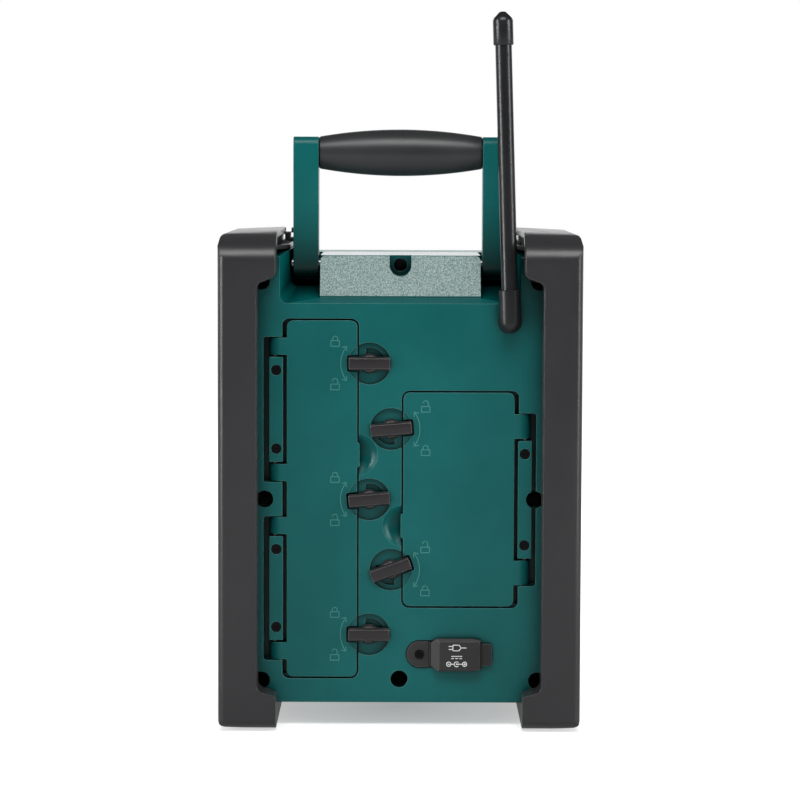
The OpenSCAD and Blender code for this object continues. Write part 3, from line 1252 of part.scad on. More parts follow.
// Cone, half-roll surround and dust cap, one moulding
module speaker_cone() color("#1d1d1f") turned_y(0, speaker_y, speaker_z) polygon(concat(
    [[0, 8.6]], [for (i = [0 : 6]) let (a = 90 - 75 * i / 6) [13.5 * cos(a) / cos(15), 13 - 4.4 * sin(a)]],
    [[38, 1.6]], [for (i = [0 : 6]) let (a = 180 - 180 * i / 6) [42 + 3.6 * cos(a), 0.2 - 2.4 * sin(a)]],
    [[speaker_r - 8.1, 0], [speaker_r - 8.1, 0.9]],
    [for (i = [0 : 6]) let (a = 180 * i / 6) [42 + 2.8 * cos(a), 0.9 - 2 * sin(a)]],
    [[38, 2.4], [11.5, 20], [0, 20]]));

// ================= main board =================

module main_board() color("#2c6a3a") mirror([1, 0, 0]) {
    y1 = frame_y - 0.05 - tray_d - tray_wall - 5.05;
    y0 = y1 - 1.6;
    z0 = door_mid_z - cell_row_h / 2;
    x0 = tray_in[0];
    block(x0, tray_in[1], y0, y1, z0, z0 + cell_row_h);
    // coils, capacitors and chips on its front side
    for (p = [[12, 20, 5], [24, 20, 5], [46, 30, 4]]) rod_y(x0 + p.x, z0 + p.y, p.z, y0 - 12, y0 + EPS);
    for (p = [[14, 52, 9], [38, 62, 6], [20, 84, 7], [42, 88, 8]])
        block(x0 + p.x - p.z, x0 + p.x + p.z, y0 - 2.4, y0 + EPS, z0 + p.y - p.z, z0 + p.y + p.z);
}

rear_cover();
front_housing();
case_seal();
bumper_left();
bumper_right();
case_screws();
handle_frame();
handle_grip();
handle_pins();
device_door();
device_door_rail();
device_door_seal();
device_hinge_pins();
device_hinge_retainers();
battery_door();
battery_door_seal();
battery_hinge_pins();
battery_hinge_retainer();
hinge_screws();
device_bay();
aux_jack();
battery_tray();
battery_contacts();
battery_springs();
antenna_base();
antenna_foot();
antenna_mast();
antenna_tip();
inlet_cover_anchor();
inlet_cover_flap();
inlet_cover_screw();
dc_jack();
control_panel();
display_lens();
display_module();
control_board();
encoders();
volume_knob();
volume_shaft();
tuning_knob();
tuning_shaft();
speaker_grille();
speaker_frame();
speaker_magnet();
speaker_cone();
main_board();
latch_1();
latch_2();
latch_3();
latch_4();
latch_5();
button_1();
button_2();
button_3();
button_4();
button_5();
button_6();
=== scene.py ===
"""Dresses a packed jobsite radio for a studio picture.

Its body is moulded teal ABS, with soft bumpers, latched doors, a folding handle and a sleeved antenna.
"""

import json
import math

import bmesh
import bpy
import numpy as np
from mathutils import Matrix, Vector

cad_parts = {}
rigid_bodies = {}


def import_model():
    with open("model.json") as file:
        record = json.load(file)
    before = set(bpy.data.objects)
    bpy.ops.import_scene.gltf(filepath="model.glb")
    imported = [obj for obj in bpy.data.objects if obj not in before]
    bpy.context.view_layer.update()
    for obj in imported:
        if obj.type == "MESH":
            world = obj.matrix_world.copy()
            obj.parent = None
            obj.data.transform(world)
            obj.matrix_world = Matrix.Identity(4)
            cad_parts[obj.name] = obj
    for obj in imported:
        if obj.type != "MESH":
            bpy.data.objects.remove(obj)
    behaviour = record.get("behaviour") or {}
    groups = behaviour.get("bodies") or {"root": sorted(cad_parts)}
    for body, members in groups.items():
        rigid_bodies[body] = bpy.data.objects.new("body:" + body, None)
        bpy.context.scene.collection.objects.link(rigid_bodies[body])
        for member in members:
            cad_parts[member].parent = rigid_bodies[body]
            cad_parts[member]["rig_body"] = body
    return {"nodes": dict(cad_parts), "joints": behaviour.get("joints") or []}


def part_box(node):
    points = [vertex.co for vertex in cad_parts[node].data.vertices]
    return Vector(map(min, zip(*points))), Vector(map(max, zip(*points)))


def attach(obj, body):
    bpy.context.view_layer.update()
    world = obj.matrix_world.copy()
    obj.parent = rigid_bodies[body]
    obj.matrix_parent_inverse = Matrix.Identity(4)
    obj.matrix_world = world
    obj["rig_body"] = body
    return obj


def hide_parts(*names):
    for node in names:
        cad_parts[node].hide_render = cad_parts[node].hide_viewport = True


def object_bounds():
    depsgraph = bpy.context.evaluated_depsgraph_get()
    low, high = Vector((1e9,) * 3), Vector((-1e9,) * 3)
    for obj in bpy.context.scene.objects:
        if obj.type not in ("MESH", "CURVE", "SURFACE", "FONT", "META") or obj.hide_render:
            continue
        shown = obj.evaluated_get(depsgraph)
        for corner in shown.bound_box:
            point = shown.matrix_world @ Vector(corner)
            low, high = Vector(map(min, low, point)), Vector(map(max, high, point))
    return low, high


bl_info = {
    "name": "Jobsite radio",
    "version": (1, 0, 0),
    "blender": (4, 5, 0),
    "location": "View3D > Sidebar > Radio",
    "description": "Builds the radio's pieces, finishes and studio",
    "category": "Add Mesh",
}

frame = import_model()
CAD_LOW, CAD_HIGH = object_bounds()
NODES = frame["nodes"]

MM = 0.001
MICRON = 0.001 * MM
SAME_POINT = 1e-7  # points of a new surface nearer than this are one
SAME_CAD_POINT = 2e-6  # and so are points of a CAD node's loose triangles
CREASE, TURNED_CREASE = 28, 35  # degrees between two faces past which their edge stays hard
FINISHES = {}


def middle(node):
    """Centre of a CAD node's box."""
    low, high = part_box(node)
    return (low + high) / 2


def joint_at(name):
    """Pivot of a joint, in metres."""
    return Vector(next(j for j in frame["joints"] if j["name"] == name)["pos_m"])


def linear(hex_colour):
    """sRGB hex to linear: each channel c is c/12.92 below 0.04045, else ((c + 0.055) / 1.055) to the power 2.4."""
    channels = [int(hex_colour[i : i + 2], 16) / 255 for i in (1, 3, 5)]
    return [c / 12.92 if c <= 0.04045 else ((c + 0.055) / 1.055) ** 2.4 for c in channels]


def colour_prop(name, description, hex_colour):
    """A colour that the panel shows."""
    return bpy.props.FloatVectorProperty(
        name=name, description=description, default=linear(hex_colour), min=0, max=1, size=3, subtype="COLOR"
    )


def number_prop(name, description, default, unit="NONE"):
    """A number that the panel shows."""
    return bpy.props.FloatProperty(name=name, description=description, default=default, unit=unit)


class RadioFinishes(bpy.types.PropertyGroup):
    """Colours of the radio's materials, and how its mouldings are finished"""

    body: colour_prop("Body", "Teal of the moulded body, doors and handle arms", "#04605F")
    bumper: colour_prop("Bumpers", "Charcoal of the bumpers", "#303032")
    grip: colour_prop("Grip", "Black of the handle grip", "#303233")
    antenna: colour_prop("Antenna", "Black of the antenna sleeve", "#1D1E20")
    levers: colour_prop("Levers", "Warm charcoal of the latch levers", "#2C292B")
    inlet: colour_prop("Inlet cover", "Charcoal of the inlet cover", "#2C2B2C")
    print_ink: colour_prop("Print", "White of the printed symbols", "#E8E8E6")
    edge: number_prop("Edge radius", "Rounding of moulded edges", 0.5 * MM, "LENGTH")
    grain: number_prop("Mould grain", "Pitch of the eroded mould texture", 0.45 * MM, "LENGTH")


class RadioStage(bpy.types.PropertyGroup):
    """Camera, table and lights"""

    floor: colour_prop("Floor", "Pale studio floor", "#F4F4F4")
    lens: number_prop("Lens", "Focal length on a 36 mm sensor", 130.6, "CAMERA")
    distance: number_prop("Distance", "From the back of the bumpers to the camera", 1.509, "LENGTH")
    height: number_prop("Height", "Camera above the floor", 0.2975, "LENGTH")
    tilt: number_prop("Tilt", "Camera looks down by this angle", math.radians(4.61), "ROTATION")
    roll: number_prop("Roll", "Camera turns about its view by this angle", math.radians(0.2), "ROTATION")
    key: number_prop("Key", "Power of the softbox above the camera", 23.0, "POWER")
    sides: number_prop("Sides", "Power of each strip light beside the radio", 6.0, "POWER")
    top: number_prop("Top", "Power of the softbox over the front", 7.0, "POWER")
    fill: number_prop("Fill", "Strength of the studio's surrounding light", 0.06)
    left_card: number_prop("Left card", "Glow of the card on the side of the device door", 15.0)
    right_card: number_prop("Right card", "Glow of the card on the side of the antenna", 8.0)
    table: number_prop("Lit table", "Light that the floor gives off from below, away from the radio", 1.0)


# ---------------------------------------------------------------- meshes


def link(obj, body, material, replaces=()):
    """Puts a finished piece into the scene, on its body and with its finish."""
    bpy.context.scene.collection.objects.link(obj)
    obj.data.materials.clear()
    obj.data.materials.append(material)
    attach(obj, body)
    if replaces:
        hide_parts(*replaces)


def mesh_from(name, points, faces, smooth=True):
    """A mesh from an (n, 3) array of points and an array of quads."""
    mesh = bpy.data.meshes.new(name)
    mesh.from_pydata(np.asarray(points, float).tolist(), [], np.asarray(faces, int).tolist())
    mesh.polygons.foreach_set("use_smooth", np.full(len(mesh.polygons), smooth))
    mesh.validate()
    return mesh


def ring_faces(rings, around):
    """Quads between neighbouring rings. Point j of ring i has the index i * around + j, and each ring closes."""
    i, j = np.arange(rings - 1)[:, None] * around, np.arange(around)[None, :]
    after = (j + 1) % around
    return np.stack([i + j, i + after, i + around + after, i + around + j], -1).reshape(-1, 4)


def weld_outward(mesh):
    """Merges points that coincide and turns the faces outwards."""
    bm = bmesh.new()
    bm.from_mesh(mesh)
    bmesh.ops.remove_doubles(bm, verts=bm.verts, dist=SAME_POINT)
    bmesh.ops.recalc_face_normals(bm, faces=bm.faces)
    bm.to_mesh(mesh)
    bm.free()
    return mesh


def mark_sharp(mesh, degrees):
    """Smooth faces, with a hard line where two faces meet at more than the angle."""
    bm = bmesh.new()
    bm.from_mesh(mesh)
    limit = math.radians(degrees)
    for face in bm.faces:
        face.smooth = True
    for edge in bm.edges:
        edge.smooth = len(edge.link_faces) == 2 and edge.calc_face_angle(0) < limit
    bm.to_mesh(mesh)
    bm.free()


def turned(name, profile, start, axis, around=96):
    """A turned solid. profile holds (distance along the axis, radius) pairs, from pole to pole. The point at angle t
    is start + along * axis + radius * (cos t * u + sin t * v), with u and v square to the axis."""
    axis = np.array(axis, float) / np.linalg.norm(axis)
    u = np.cross(axis, [0, 0, 1] if abs(axis[2]) < 0.9 else [1, 0, 0])
    u /= np.linalg.norm(u)
    v = np.cross(axis, u)
    profile = np.asarray(profile, float)
    t = np.linspace(0, 2 * math.pi, around, endpoint=False)
    ring = np.cos(t)[:, None] * u + np.sin(t)[:, None] * v
    points = np.array(start) + profile[:, None, :1] * axis + profile[:, None, 1:] * ring[None]
    mesh = weld_outward(mesh_from(name, points.reshape(-1, 3), ring_faces(len(profile), around)))
    mark_sharp(mesh, TURNED_CREASE)
    return bpy.data.objects.new(name, mesh)


def ridge(path, y, width, height):
    """A ridge with a trapezoid section, carried along an open path in the plane of constant y. path holds (x, z)
    pairs. At each point the section lies along the normal n of the path: foot at half the width, crown at 0.3 of it,
    and one point just under the plane. The ends shrink onto the path. A negative height raises it towards -y."""
    path = np.asarray(path, float)
    along = np.gradient(path, axis=0)
    along /= np.linalg.norm(along, axis=1)[:, None]
    n = np.stack([-along[:, 1], along[:, 0]], 1)
    across = np.array([-0.5, -0.3, 0.3, 0.5, 0.0]) * width
    rise = np.array([0.0, height, height, 0.0, -0.2 * height])
    rows = path[:, None] + n[:, None] * across[:, None]
    grid = np.stack([rows[..., 0], np.broadcast_to(y + rise, rows.shape[:2]), rows[..., 1]], -1)
    first, last = (np.tile([x, y, z], (1, len(across), 1)) for x, z in (path[0], path[-1]))
    grid = np.concatenate([first, grid, last])
    return grid.reshape(-1, 3), ring_faces(len(grid), len(across))


def strokes(name, paths, y, width, height):
    """One mesh of ridges along several paths."""
    points, faces, count = [], [], 0
    for path in paths:
        ridge_points, quads = ridge(path, y, width, height)
        points.append(ridge_points)
        faces.append(quads + count)
        count += len(ridge_points)
    mesh = mesh_from(name, np.concatenate(points), np.concatenate(faces), False)
    return bpy.data.objects.new(name, weld_outward(mesh))


def skin(node, material, edge=0.0, welded_to=()):
    """A smooth copy of a CAD node, with rounded edges where edge is given, which stands for the node. Nodes in
    welded_to meet the node's lowest x plane face to face and are one moulding with it, so the faces on that plane go
    and the borders are merged."""
    mesh = NODES[node].data.copy()
    mesh.name = node + "_skin"
    bm = bmesh.new()
    bm.from_mesh(mesh)
    for other in welded_to:
        bm.from_mesh(NODES[other].data)
    if welded_to:
        seam, on_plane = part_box(node)[0].x, 1e-6
        inner = [f for f in bm.faces if all(abs(v.co.x - seam) < on_plane for v in f.verts)]
        bmesh.ops.delete(bm, geom=inner, context="FACES")
    bmesh.ops.remove_doubles(bm, verts=bm.verts, dist=SAME_CAD_POINT)
    if edge:
        flat = math.radians(0.4)
        bmesh.ops.dissolve_limit(bm, angle_limit=flat, verts=bm.verts, edges=bm.edges, delimit={"NORMAL"})
    bm.to_mesh(mesh)
    bm.free()
    mark_sharp(mesh, CREASE)
    obj = bpy.data.objects.new(node + "_skin", mesh)
    link(obj, NODES[node]["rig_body"], material, [node, *welded_to])
    if edge:
        bevel = obj.modifiers.new("Rounded edges", "BEVEL")
        bevel.width, bevel.segments = edge, 2
        bevel.limit_method, bevel.angle_limit = "ANGLE", math.radians(CREASE)
        bevel.use_clamp_overlap = True
        bevel.harden_normals = True
        bevel.miter_outer = "MITER_ARC"
    return obj


def finish_node(material, *nodes):
    """Gives CAD nodes that keep their own shape a finish."""
    for name in nodes:
        NODES[name].data.materials.clear()
        NODES[name].data.materials.append(material)


# ---------------------------------------------------------------- signs


def arc(x, z, radius, start, end, steps=24):
    """Points on a circle in the plane of x and z, from the start to the end angle in degrees."""
    t = np.radians(np.linspace(start, end, steps))
    return np.stack([x + radius * np.cos(t), z + radius * np.sin(t)], 1)


def line(*points):
    """A path through the points, with a point more near each corner so that its section turns cleanly."""
    points = np.asarray(points, float)
    legs = [a + (b - a) * np.array([[0.0], [0.06], [0.94]]) for a, b in zip(points, points[1:])]
    return np.concatenate([*legs, points[-1:]])


def padlock(x, z, size, shut):
    """A padlock: a square body and a bow above it, which stands clear of the body on one side when it is open."""
    w, h = 0.42 * size, 0.45 * size
    body = line((x - w, z - h), (x + w, z - h), (x + w, z + 0.1 * size), (x - w, z + 0.1 * size), (x - w, z - h))
    r, top = 0.25 * size, z + (0.28 if shut else 0.42) * size
    bow = arc(x, top, r, 180, 0, 12)
    left = line((x - r, z + 0.1 * size), (x - r, top))
    right = [line((x + r, top), (x + r, z + 0.1 * size))] if shut else []
    return [body, left, bow, *right]


def plug_symbol(x, z):
    """A plug on its lead, in mm: two pins, a body and a straight lead."""
    outline = ((-2, -1.5), (1.2, -1.5), (2.4, 0), (1.2, 1.5), (-2, 1.5), (-2, -1.5))
    body = line(*np.array(outline) + (x, z))
    pins = [line((x - 4.2, z + side * 0.8), (x - 2, z + side * 0.8)) for side in (-1, 1)]
    return [body, *pins, line((x + 2.4, z), (x + 5.2, z))]


def direct_current_symbol(x, z):
    """The sign for direct current, in mm: a full line over three dashes."""
    dashes = [line((x + start, z - 0.7), (x + start + 1.5, z - 0.7)) for start in (-2.9, -0.75, 1.4)]
    return [line((x - 2.9, z + 0.5), (x + 2.9, z + 0.5)), *dashes]


def polarity_symbol(x, z):
    """Which pole the middle pin is, in mm: a ring with a minus, an open ring round a dot, and a ring with a plus."""
    left, right = x - 4.2, x + 4.2
    rings = [arc(left, z, 1.15, 0, 360), arc(right, z, 1.15, 0, 360)]
    socket = [arc(x, z, 1.3, 40, 320), arc(x, z, 0.25, 0, 360, 8)]
    bars = [line((c - 0.6, z), (c + 0.6, z)) for c in (left, right)]
    links = [line((left + 1.3, z), (x - 1.4, z)), line((x + 0.3, z), (right - 1.3, z))]
    return [*rings, *socket, *bars, line((right, z - 0.6), (right, z + 0.6)), *links]


# corners of a digit in half widths and half heights, and its seven segments clockwise from the top, the bar last
CORNERS = ((-1, 1), (1, 1), (1, 0), (1, -1), (-1, -1), (-1, 0))
SEGMENTS = ((0, 1), (1, 2), (2, 3), (3, 4), (4, 5), (5, 0), (5, 2))
LIT = ("012345", "12", "01346", "01236", "1256", "02356", "023456", "012", "0123456", "012356")


def digit(x, z, height, number):
    """A seven-segment digit round (x, z), with each segment cut short at both ends."""
    corners = np.array(CORNERS) * (0.26 * height, 0.5 * height) + (x, z)
    paths = []
    for segment in map(int, LIT[number]):
        start, end = corners[list(SEGMENTS[segment])]
        step = (end - start) / np.linalg.norm(end - start) * 0.06 * height
        paths.append(line(start + step, end - step))
    return paths


def button_symbols():
    """What each button does, in mm round its own middle: power, band, back, on, less and more."""
    power = [arc(0, 0, 1.3, 125, 415, 20), line((0, 0.2), (0, 1.7))]
    t = np.linspace(-2.2, 2.2, 25)
    wave = [np.stack([t, 0.9 * np.sin(t * 2.8)], 1)]
    back = [line((0.2, 1.1), (-1.2, 0), (0.2, -1.1)), line((1.9, 1.1), (0.5, 0), (1.9, -1.1))]
    on = [path * (-1, 1) for path in back]
    less = [line((-1.3, 0), (1.3, 0))]
    more = [*less, line((0, -1.3), (0, 1.3))]
    return [power, wave, back, on, less, more]


def latch_marks(x, z, side):
    """Marks of one latch on its door: an arc with an arrowhead at each end, and a shut and an open padlock. side is 1
    where the door lies towards +x of the latch, and -1 where it lies towards -x."""
    radius, sweep, barb = 15.2 * MM, 37, 2.6 * MM
    aside, above, size = 18.2 * MM, 11.5 * MM, 5.4 * MM
    towards_door = 0 if side > 0 else 180
    paths = [arc(x, z, radius, towards_door - sweep, towards_door + sweep, 28)]
    for turn in (-1, 1):
        a = math.radians(towards_door + turn * sweep)
        out = np.array([math.cos(a), math.sin(a)])
        back = np.array([math.sin(a), -math.cos(a)]) * turn
        tip = (x, z) + radius * out
        for s in (-1, 1):
            paths.append(line(tip, tip + barb * (0.8 * back + 0.6 * s * out)))
    for rise, shut in ((above, True), (-above, False)):
        paths += padlock(x + side * aside, z + side * rise, size, shut)
    return paths


# ---------------------------------------------------------------- finishes


def add(tree, kind, sockets=None, stops=(), **settings):
    """Adds a shader node. Each socket given takes a value, or a link from another node's output. stops are the
    (position, grey or RGB) pairs of a colour ramp."""
    made = tree.nodes.new(kind)
    for key, value in settings.items():
        setattr(made, key, value)
    for key, value in (sockets or {}).items():
        if isinstance(value, bpy.types.NodeSocket):
            tree.links.new(value, made.inputs[key])
        else:
            made.inputs[key].default_value = value
    if stops:
        elements = made.color_ramp.elements
        while len(elements) < len(stops):
            elements.new(0.5)
        for element, (position, value) in zip(elements, stops):
            element.position = position
            element.color = (*value, 1) if hasattr(value, "__len__") else (value, value, value, 1)
    return made


def new_material(name, **sockets):
    """A material with its Principled shader, and the sockets that are the same all over."""
    material = bpy.data.materials.new(name)
    material.use_nodes = True
    shader = material.node_tree.nodes["Principled BSDF"]
    for key, value in sockets.items():
        shader.inputs[key.replace("_", " ")].default_value = value
    return material, material.node_tree, shader


# painted shade in a hollow: the share of the colour that is left, at each share of open sky
WELL = ((0.1, 0.03), (0.45, 0.45), (0.85, 1.0))
CHANNEL = ((0.25, 0.01), (0.62, 0.4), (0.94, 1.0))
# painted shade on the handle's arms, darker towards the bottom: the share of the colour that is left, at each share
# of the shaded height
ARM_SHADE = ((0.05, 0.04), (0.23, 0.24), (0.6, 0.72), (1.0, 1.0))
DRIFT = 28.0  # slow drifts of tone and gloss in each metre
DRAWN = 2200.0  # drawn lines in each metre of a plated steel


def moulded(name, colour, roughness, grain, depth, cloud, edge=0.0, painted_shade_reach=0.0, shade=WELL, painted_edge_light=None, **sockets):
    """A moulded polymer: the tool's eroded grain as fine bumps, slow drifts of tone and of gloss, and softened edges.
    grain is the pitch of the bumps and depth their height, in metres, and cloud is how far the tone drifts. Hollows
    narrower than painted_shade_reach darken with painted shade, from ambient occlusion. Edges turn towards the
    painted_edge_light colour as a painted highlight: the mask is one less the cosine between the rounded normal and
    the flat one."""
    material, tree, shader = new_material(name, **sockets)
    where = add(tree, "ShaderNodeTexCoord").outputs["Object"]
    fine = add(tree, "ShaderNodeTexNoise", {"Vector": where, "Scale": 1 / grain, "Detail": 2.5, "Roughness": 0.6})
    slow = add(tree, "ShaderNodeTexNoise", {"Vector": where, "Scale": DRIFT, "Detail": 4.0, "Roughness": 0.55})
    dark = [c * (1 - cloud) for c in colour]
    light = [min(1, c * (1 + cloud) + cloud * 0.012) for c in colour]
    tone = add(tree, "ShaderNodeValToRGB", {"Fac": slow.outputs["Fac"]}, [(0.3, dark), (0.7, light)])
    colour = tone.outputs["Color"]
    rounded = add(tree, "ShaderNodeBevel", {"Radius": edge}, samples=6) if edge else None
    # painted highlight: the rounded edges turn towards a paler colour, where light would catch them
    if painted_edge_light:
        flat = add(tree, "ShaderNodeNewGeometry").outputs["Normal"]
        same = add(tree, "ShaderNodeVectorMath", {0: rounded.outputs["Normal"], 1: flat}, operation="DOT_PRODUCT")
        lit_edge_mask = add(tree, "ShaderNodeValToRGB", {"Fac": same.outputs["Value"]}, [(0.8, 1.0), (0.985, 0.0)])
        colour = add(
            tree, "ShaderNodeMix", {0: lit_edge_mask.outputs["Color"], 6: colour, 7: (*painted_edge_light, 1)}, data_type="RGBA"
        ).outputs[2]
    # painted shade: ambient occlusion darkens the colour in hollows and seams
    if painted_shade_reach:
        hollow = add(tree, "ShaderNodeAmbientOcclusion", {"Distance": painted_shade_reach}, samples=6)
        painted_shade_tone = add(tree, "ShaderNodeValToRGB", {"Fac": hollow.outputs["AO"]}, shade)
        colour = add(
            tree, "ShaderNodeMix", {0: 1.0, 6: colour, 7: painted_shade_tone.outputs["Color"]},
            data_type="RGBA", blend_type="MULTIPLY",
        ).outputs[2]
    tree.links.new(colour, shader.inputs["Base Color"])
    drift = {"From Min": 0.3, "From Max": 0.7, "To Min": roughness - 0.025, "To Max": roughness + 0.035}
    gloss = add(tree, "ShaderNodeMapRange", {"Value": slow.outputs["Fac"], **drift})
    tree.links.new(gloss.outputs["Result"], shader.inputs["Roughness"])
    bump = add(tree, "ShaderNodeBump", {"Height": fine.outputs["Fac"], "Distance": depth, "Strength": 1.0})
    if edge:
        tree.links.new(rounded.outputs["Normal"], bump.inputs["Normal"])
    tree.links.new(bump.outputs["Normal"], shader.inputs["Normal"])
    return material


def paint_shade_by_height(material, low, high, stops):
    """Darkens a finish between two heights with painted shade. The stops say what share of its colour is left from
    the low one up.
    """
    tree = material.node_tree
    base = tree.nodes["Principled BSDF"].inputs["Base Color"]
    height = add(tree, "ShaderNodeSeparateXYZ", {0: add(tree, "ShaderNodeTexCoord").outputs["Object"]})
    share = add(tree, "ShaderNodeMapRange", {"Value": height.outputs["Z"], "From Min": low, "From Max": high})
    tone = add(tree, "ShaderNodeValToRGB", {"Fac": share.outputs["Result"]}, stops)
    shaded = add(
        tree, "ShaderNodeMix", {0: 1.0, 6: base.links[0].from_socket, 7: tone.outputs["Color"]},
        data_type="RGBA", blend_type="MULTIPLY",
    )
    tree.links.new(shaded.outputs[2], base)


def frosted(name, low, high, pitch, depth):
    """A coarse sparked texture: craters of the given pitch, dark in their floors and pale on their crests. Both tones
    are far paler than the moulding itself: painted glare for the light the texture reflects.
    """
    material, tree, shader = new_material(name, Roughness=0.62)
    where = add(tree, "ShaderNodeTexCoord").outputs["Object"]
    craters = add(tree, "ShaderNodeTexNoise", {"Vector": where, "Scale": 1 / pitch, "Detail": 1.5, "Roughness": 0.7})
    tone = add(tree, "ShaderNodeValToRGB", {"Fac": craters.outputs["Fac"]}, [(0.36, low), (0.62, high)])
    tree.links.new(tone.outputs["Color"], shader.inputs["Base Color"])
    bump = add(tree, "ShaderNodeBump", {"Height": craters.outputs["Fac"], "Distance": depth, "Strength": 1.0})
    tree.links.new(bump.outputs["Normal"], shader.inputs["Normal"])
    return material


def metal(name, colour, roughness):
    """A plated metal: fine drawn lines along its length that spread the highlight."""
    material, tree, shader = new_material(name, Metallic=1.0)
    where = add(tree, "ShaderNodeTexCoord").outputs["Object"]
    stretched = add(tree, "ShaderNodeMapping", {"Vector": where, "Scale": (1, 1, 0.08)}).outputs["Vector"]
    lines = add(tree, "ShaderNodeTexNoise", {"Vector": stretched, "Scale": DRAWN, "Detail": 2.0}).outputs["Fac"]
    tone = add(tree, "ShaderNodeValToRGB", {"Fac": lines}, [(0.3, [c * 0.86 for c in colour]), (0.7, colour)])
    tree.links.new(tone.outputs["Color"], shader.inputs["Base Color"])
    spread = {"To Min": roughness - 0.06, "To Max": roughness + 0.08}
    gloss = add(tree, "ShaderNodeMapRange", {"Value": lines, **spread})
    tree.links.new(gloss.outputs["Result"], shader.inputs["Roughness"])
    return material


def abs_finishes(f):
    """Injection-moulded ABS of the body, the doors and the handle's arms."""
    made = {}
    # from an eroded tool: a silky face with fine grain that breaks up its reflections, with painted shade in its
    # hollows and seams and painted highlights paling its edges
    made["abs_body"] = moulded(
        "Moulded ABS teal", f.body, 0.3, f.grain, 50 * MICRON, cloud=0.08, edge=f.edge, painted_shade_reach=12 * MM,
        painted_edge_light=linear("#5E9C96"), Specular_IOR_Level=0.3,
    )
    # the same moulding in the handle's arms, whose lower ends stand in narrow channels: painted shade darkens them
    # towards the pivot, with more painted shade in hollows and painted highlights paling the edges
    made["abs_arms"] = moulded(
        "Moulded ABS arms", f.body, 0.34, f.grain, 30 * MICRON, cloud=0.06, edge=f.edge, painted_shade_reach=6 * MM,
        painted_edge_light=linear("#4A8A86"), Specular_IOR_Level=0.25,
    )
    # painted shade for the channels' shadow: nearly black at the arms' ends, full colour 32 mm above the pivot
    pivot = joint_at("handle_fold").z
    paint_shade_by_height(made["abs_arms"], pivot - 10 * MM, pivot + 32 * MM, ARM_SHADE)
    # and in the channels themselves, where the draw polish never reached: dead matt, and darkened hard by painted
    # shade
    made["abs_channel"] = moulded(
        "Moulded ABS channel", f.body, 0.8, f.grain, 30 * MICRON, cloud=0.06, edge=f.edge, painted_shade_reach=22 * MM,
        shade=CHANNEL, Specular_IOR_Level=0.0,
    )
    # raised marks in a paler teal than the doors: a painted highlight for the light their crests catch
    made["abs_marks"] = moulded("Raised marks", linear("#3E8A83"), 0.4, f.grain, 10 * MICRON, cloud=0.1)
    # the block's slope comes from a coarsely sparked face of the tool: a frosted speckle, paled with painted glare
    made["abs_frosted"] = frosted("Frosted ABS", linear("#547A78"), linear("#A9B9B6"), 0.7 * MM, 80 * MICRON)
    # its top is a polished land that mirrors the room
    made["abs_land"] = moulded("Polished ABS land", f.body, 0.2, f.grain, 2 * MICRON, cloud=0.04)
    return made


def soft_finishes(f):
    """Rubbers and other soft or sleeved outside pieces."""
    made = {}
    # overmoulded thermoplastic rubber: a dusty satin, with a soft glow at grazing angles and painted shade in its
    # hollows
    made["tpe_bumper"] = moulded(
        "Soft-touch TPE charcoal", f.bumper, 0.31, f.grain * 0.8, 20 * MICRON, cloud=0.05, edge=1.6 * MM,
        painted_shade_reach=8 * MM, Sheen_Weight=0.03,
    )
    # smooth rubber of the grip: one long soft highlight
    made["rubber_grip"] = moulded("Moulded rubber grip", f.grip, 0.36, f.grain, 12 * MICRON, cloud=0.05)
    # PVC-sleeved antenna: tight highlight down its length
    made["pvc_antenna"] = moulded("PVC antenna sleeve", f.antenna, 0.3, f.grain, 8 * MICRON, cloud=0.04)
    # silicone rubber of the inlet cover: matt and even, with painted highlights paling its edges and painted shade in
    # its hollows
    made["silicone_inlet"] = moulded(
        "Silicone inlet cover", f.inlet, 0.5, f.grain, 15 * MICRON, cloud=0.04, edge=f.edge * 0.8, painted_shade_reach=4 * MM,
        painted_edge_light=linear("#7C7A7A"),
    )
    # EPDM seals and buttons: dull black
    made["epdm_seal"] = moulded("EPDM seal", linear("#1D1D1E"), 0.6, f.grain, 20 * MICRON, cloud=0.05)
    return made


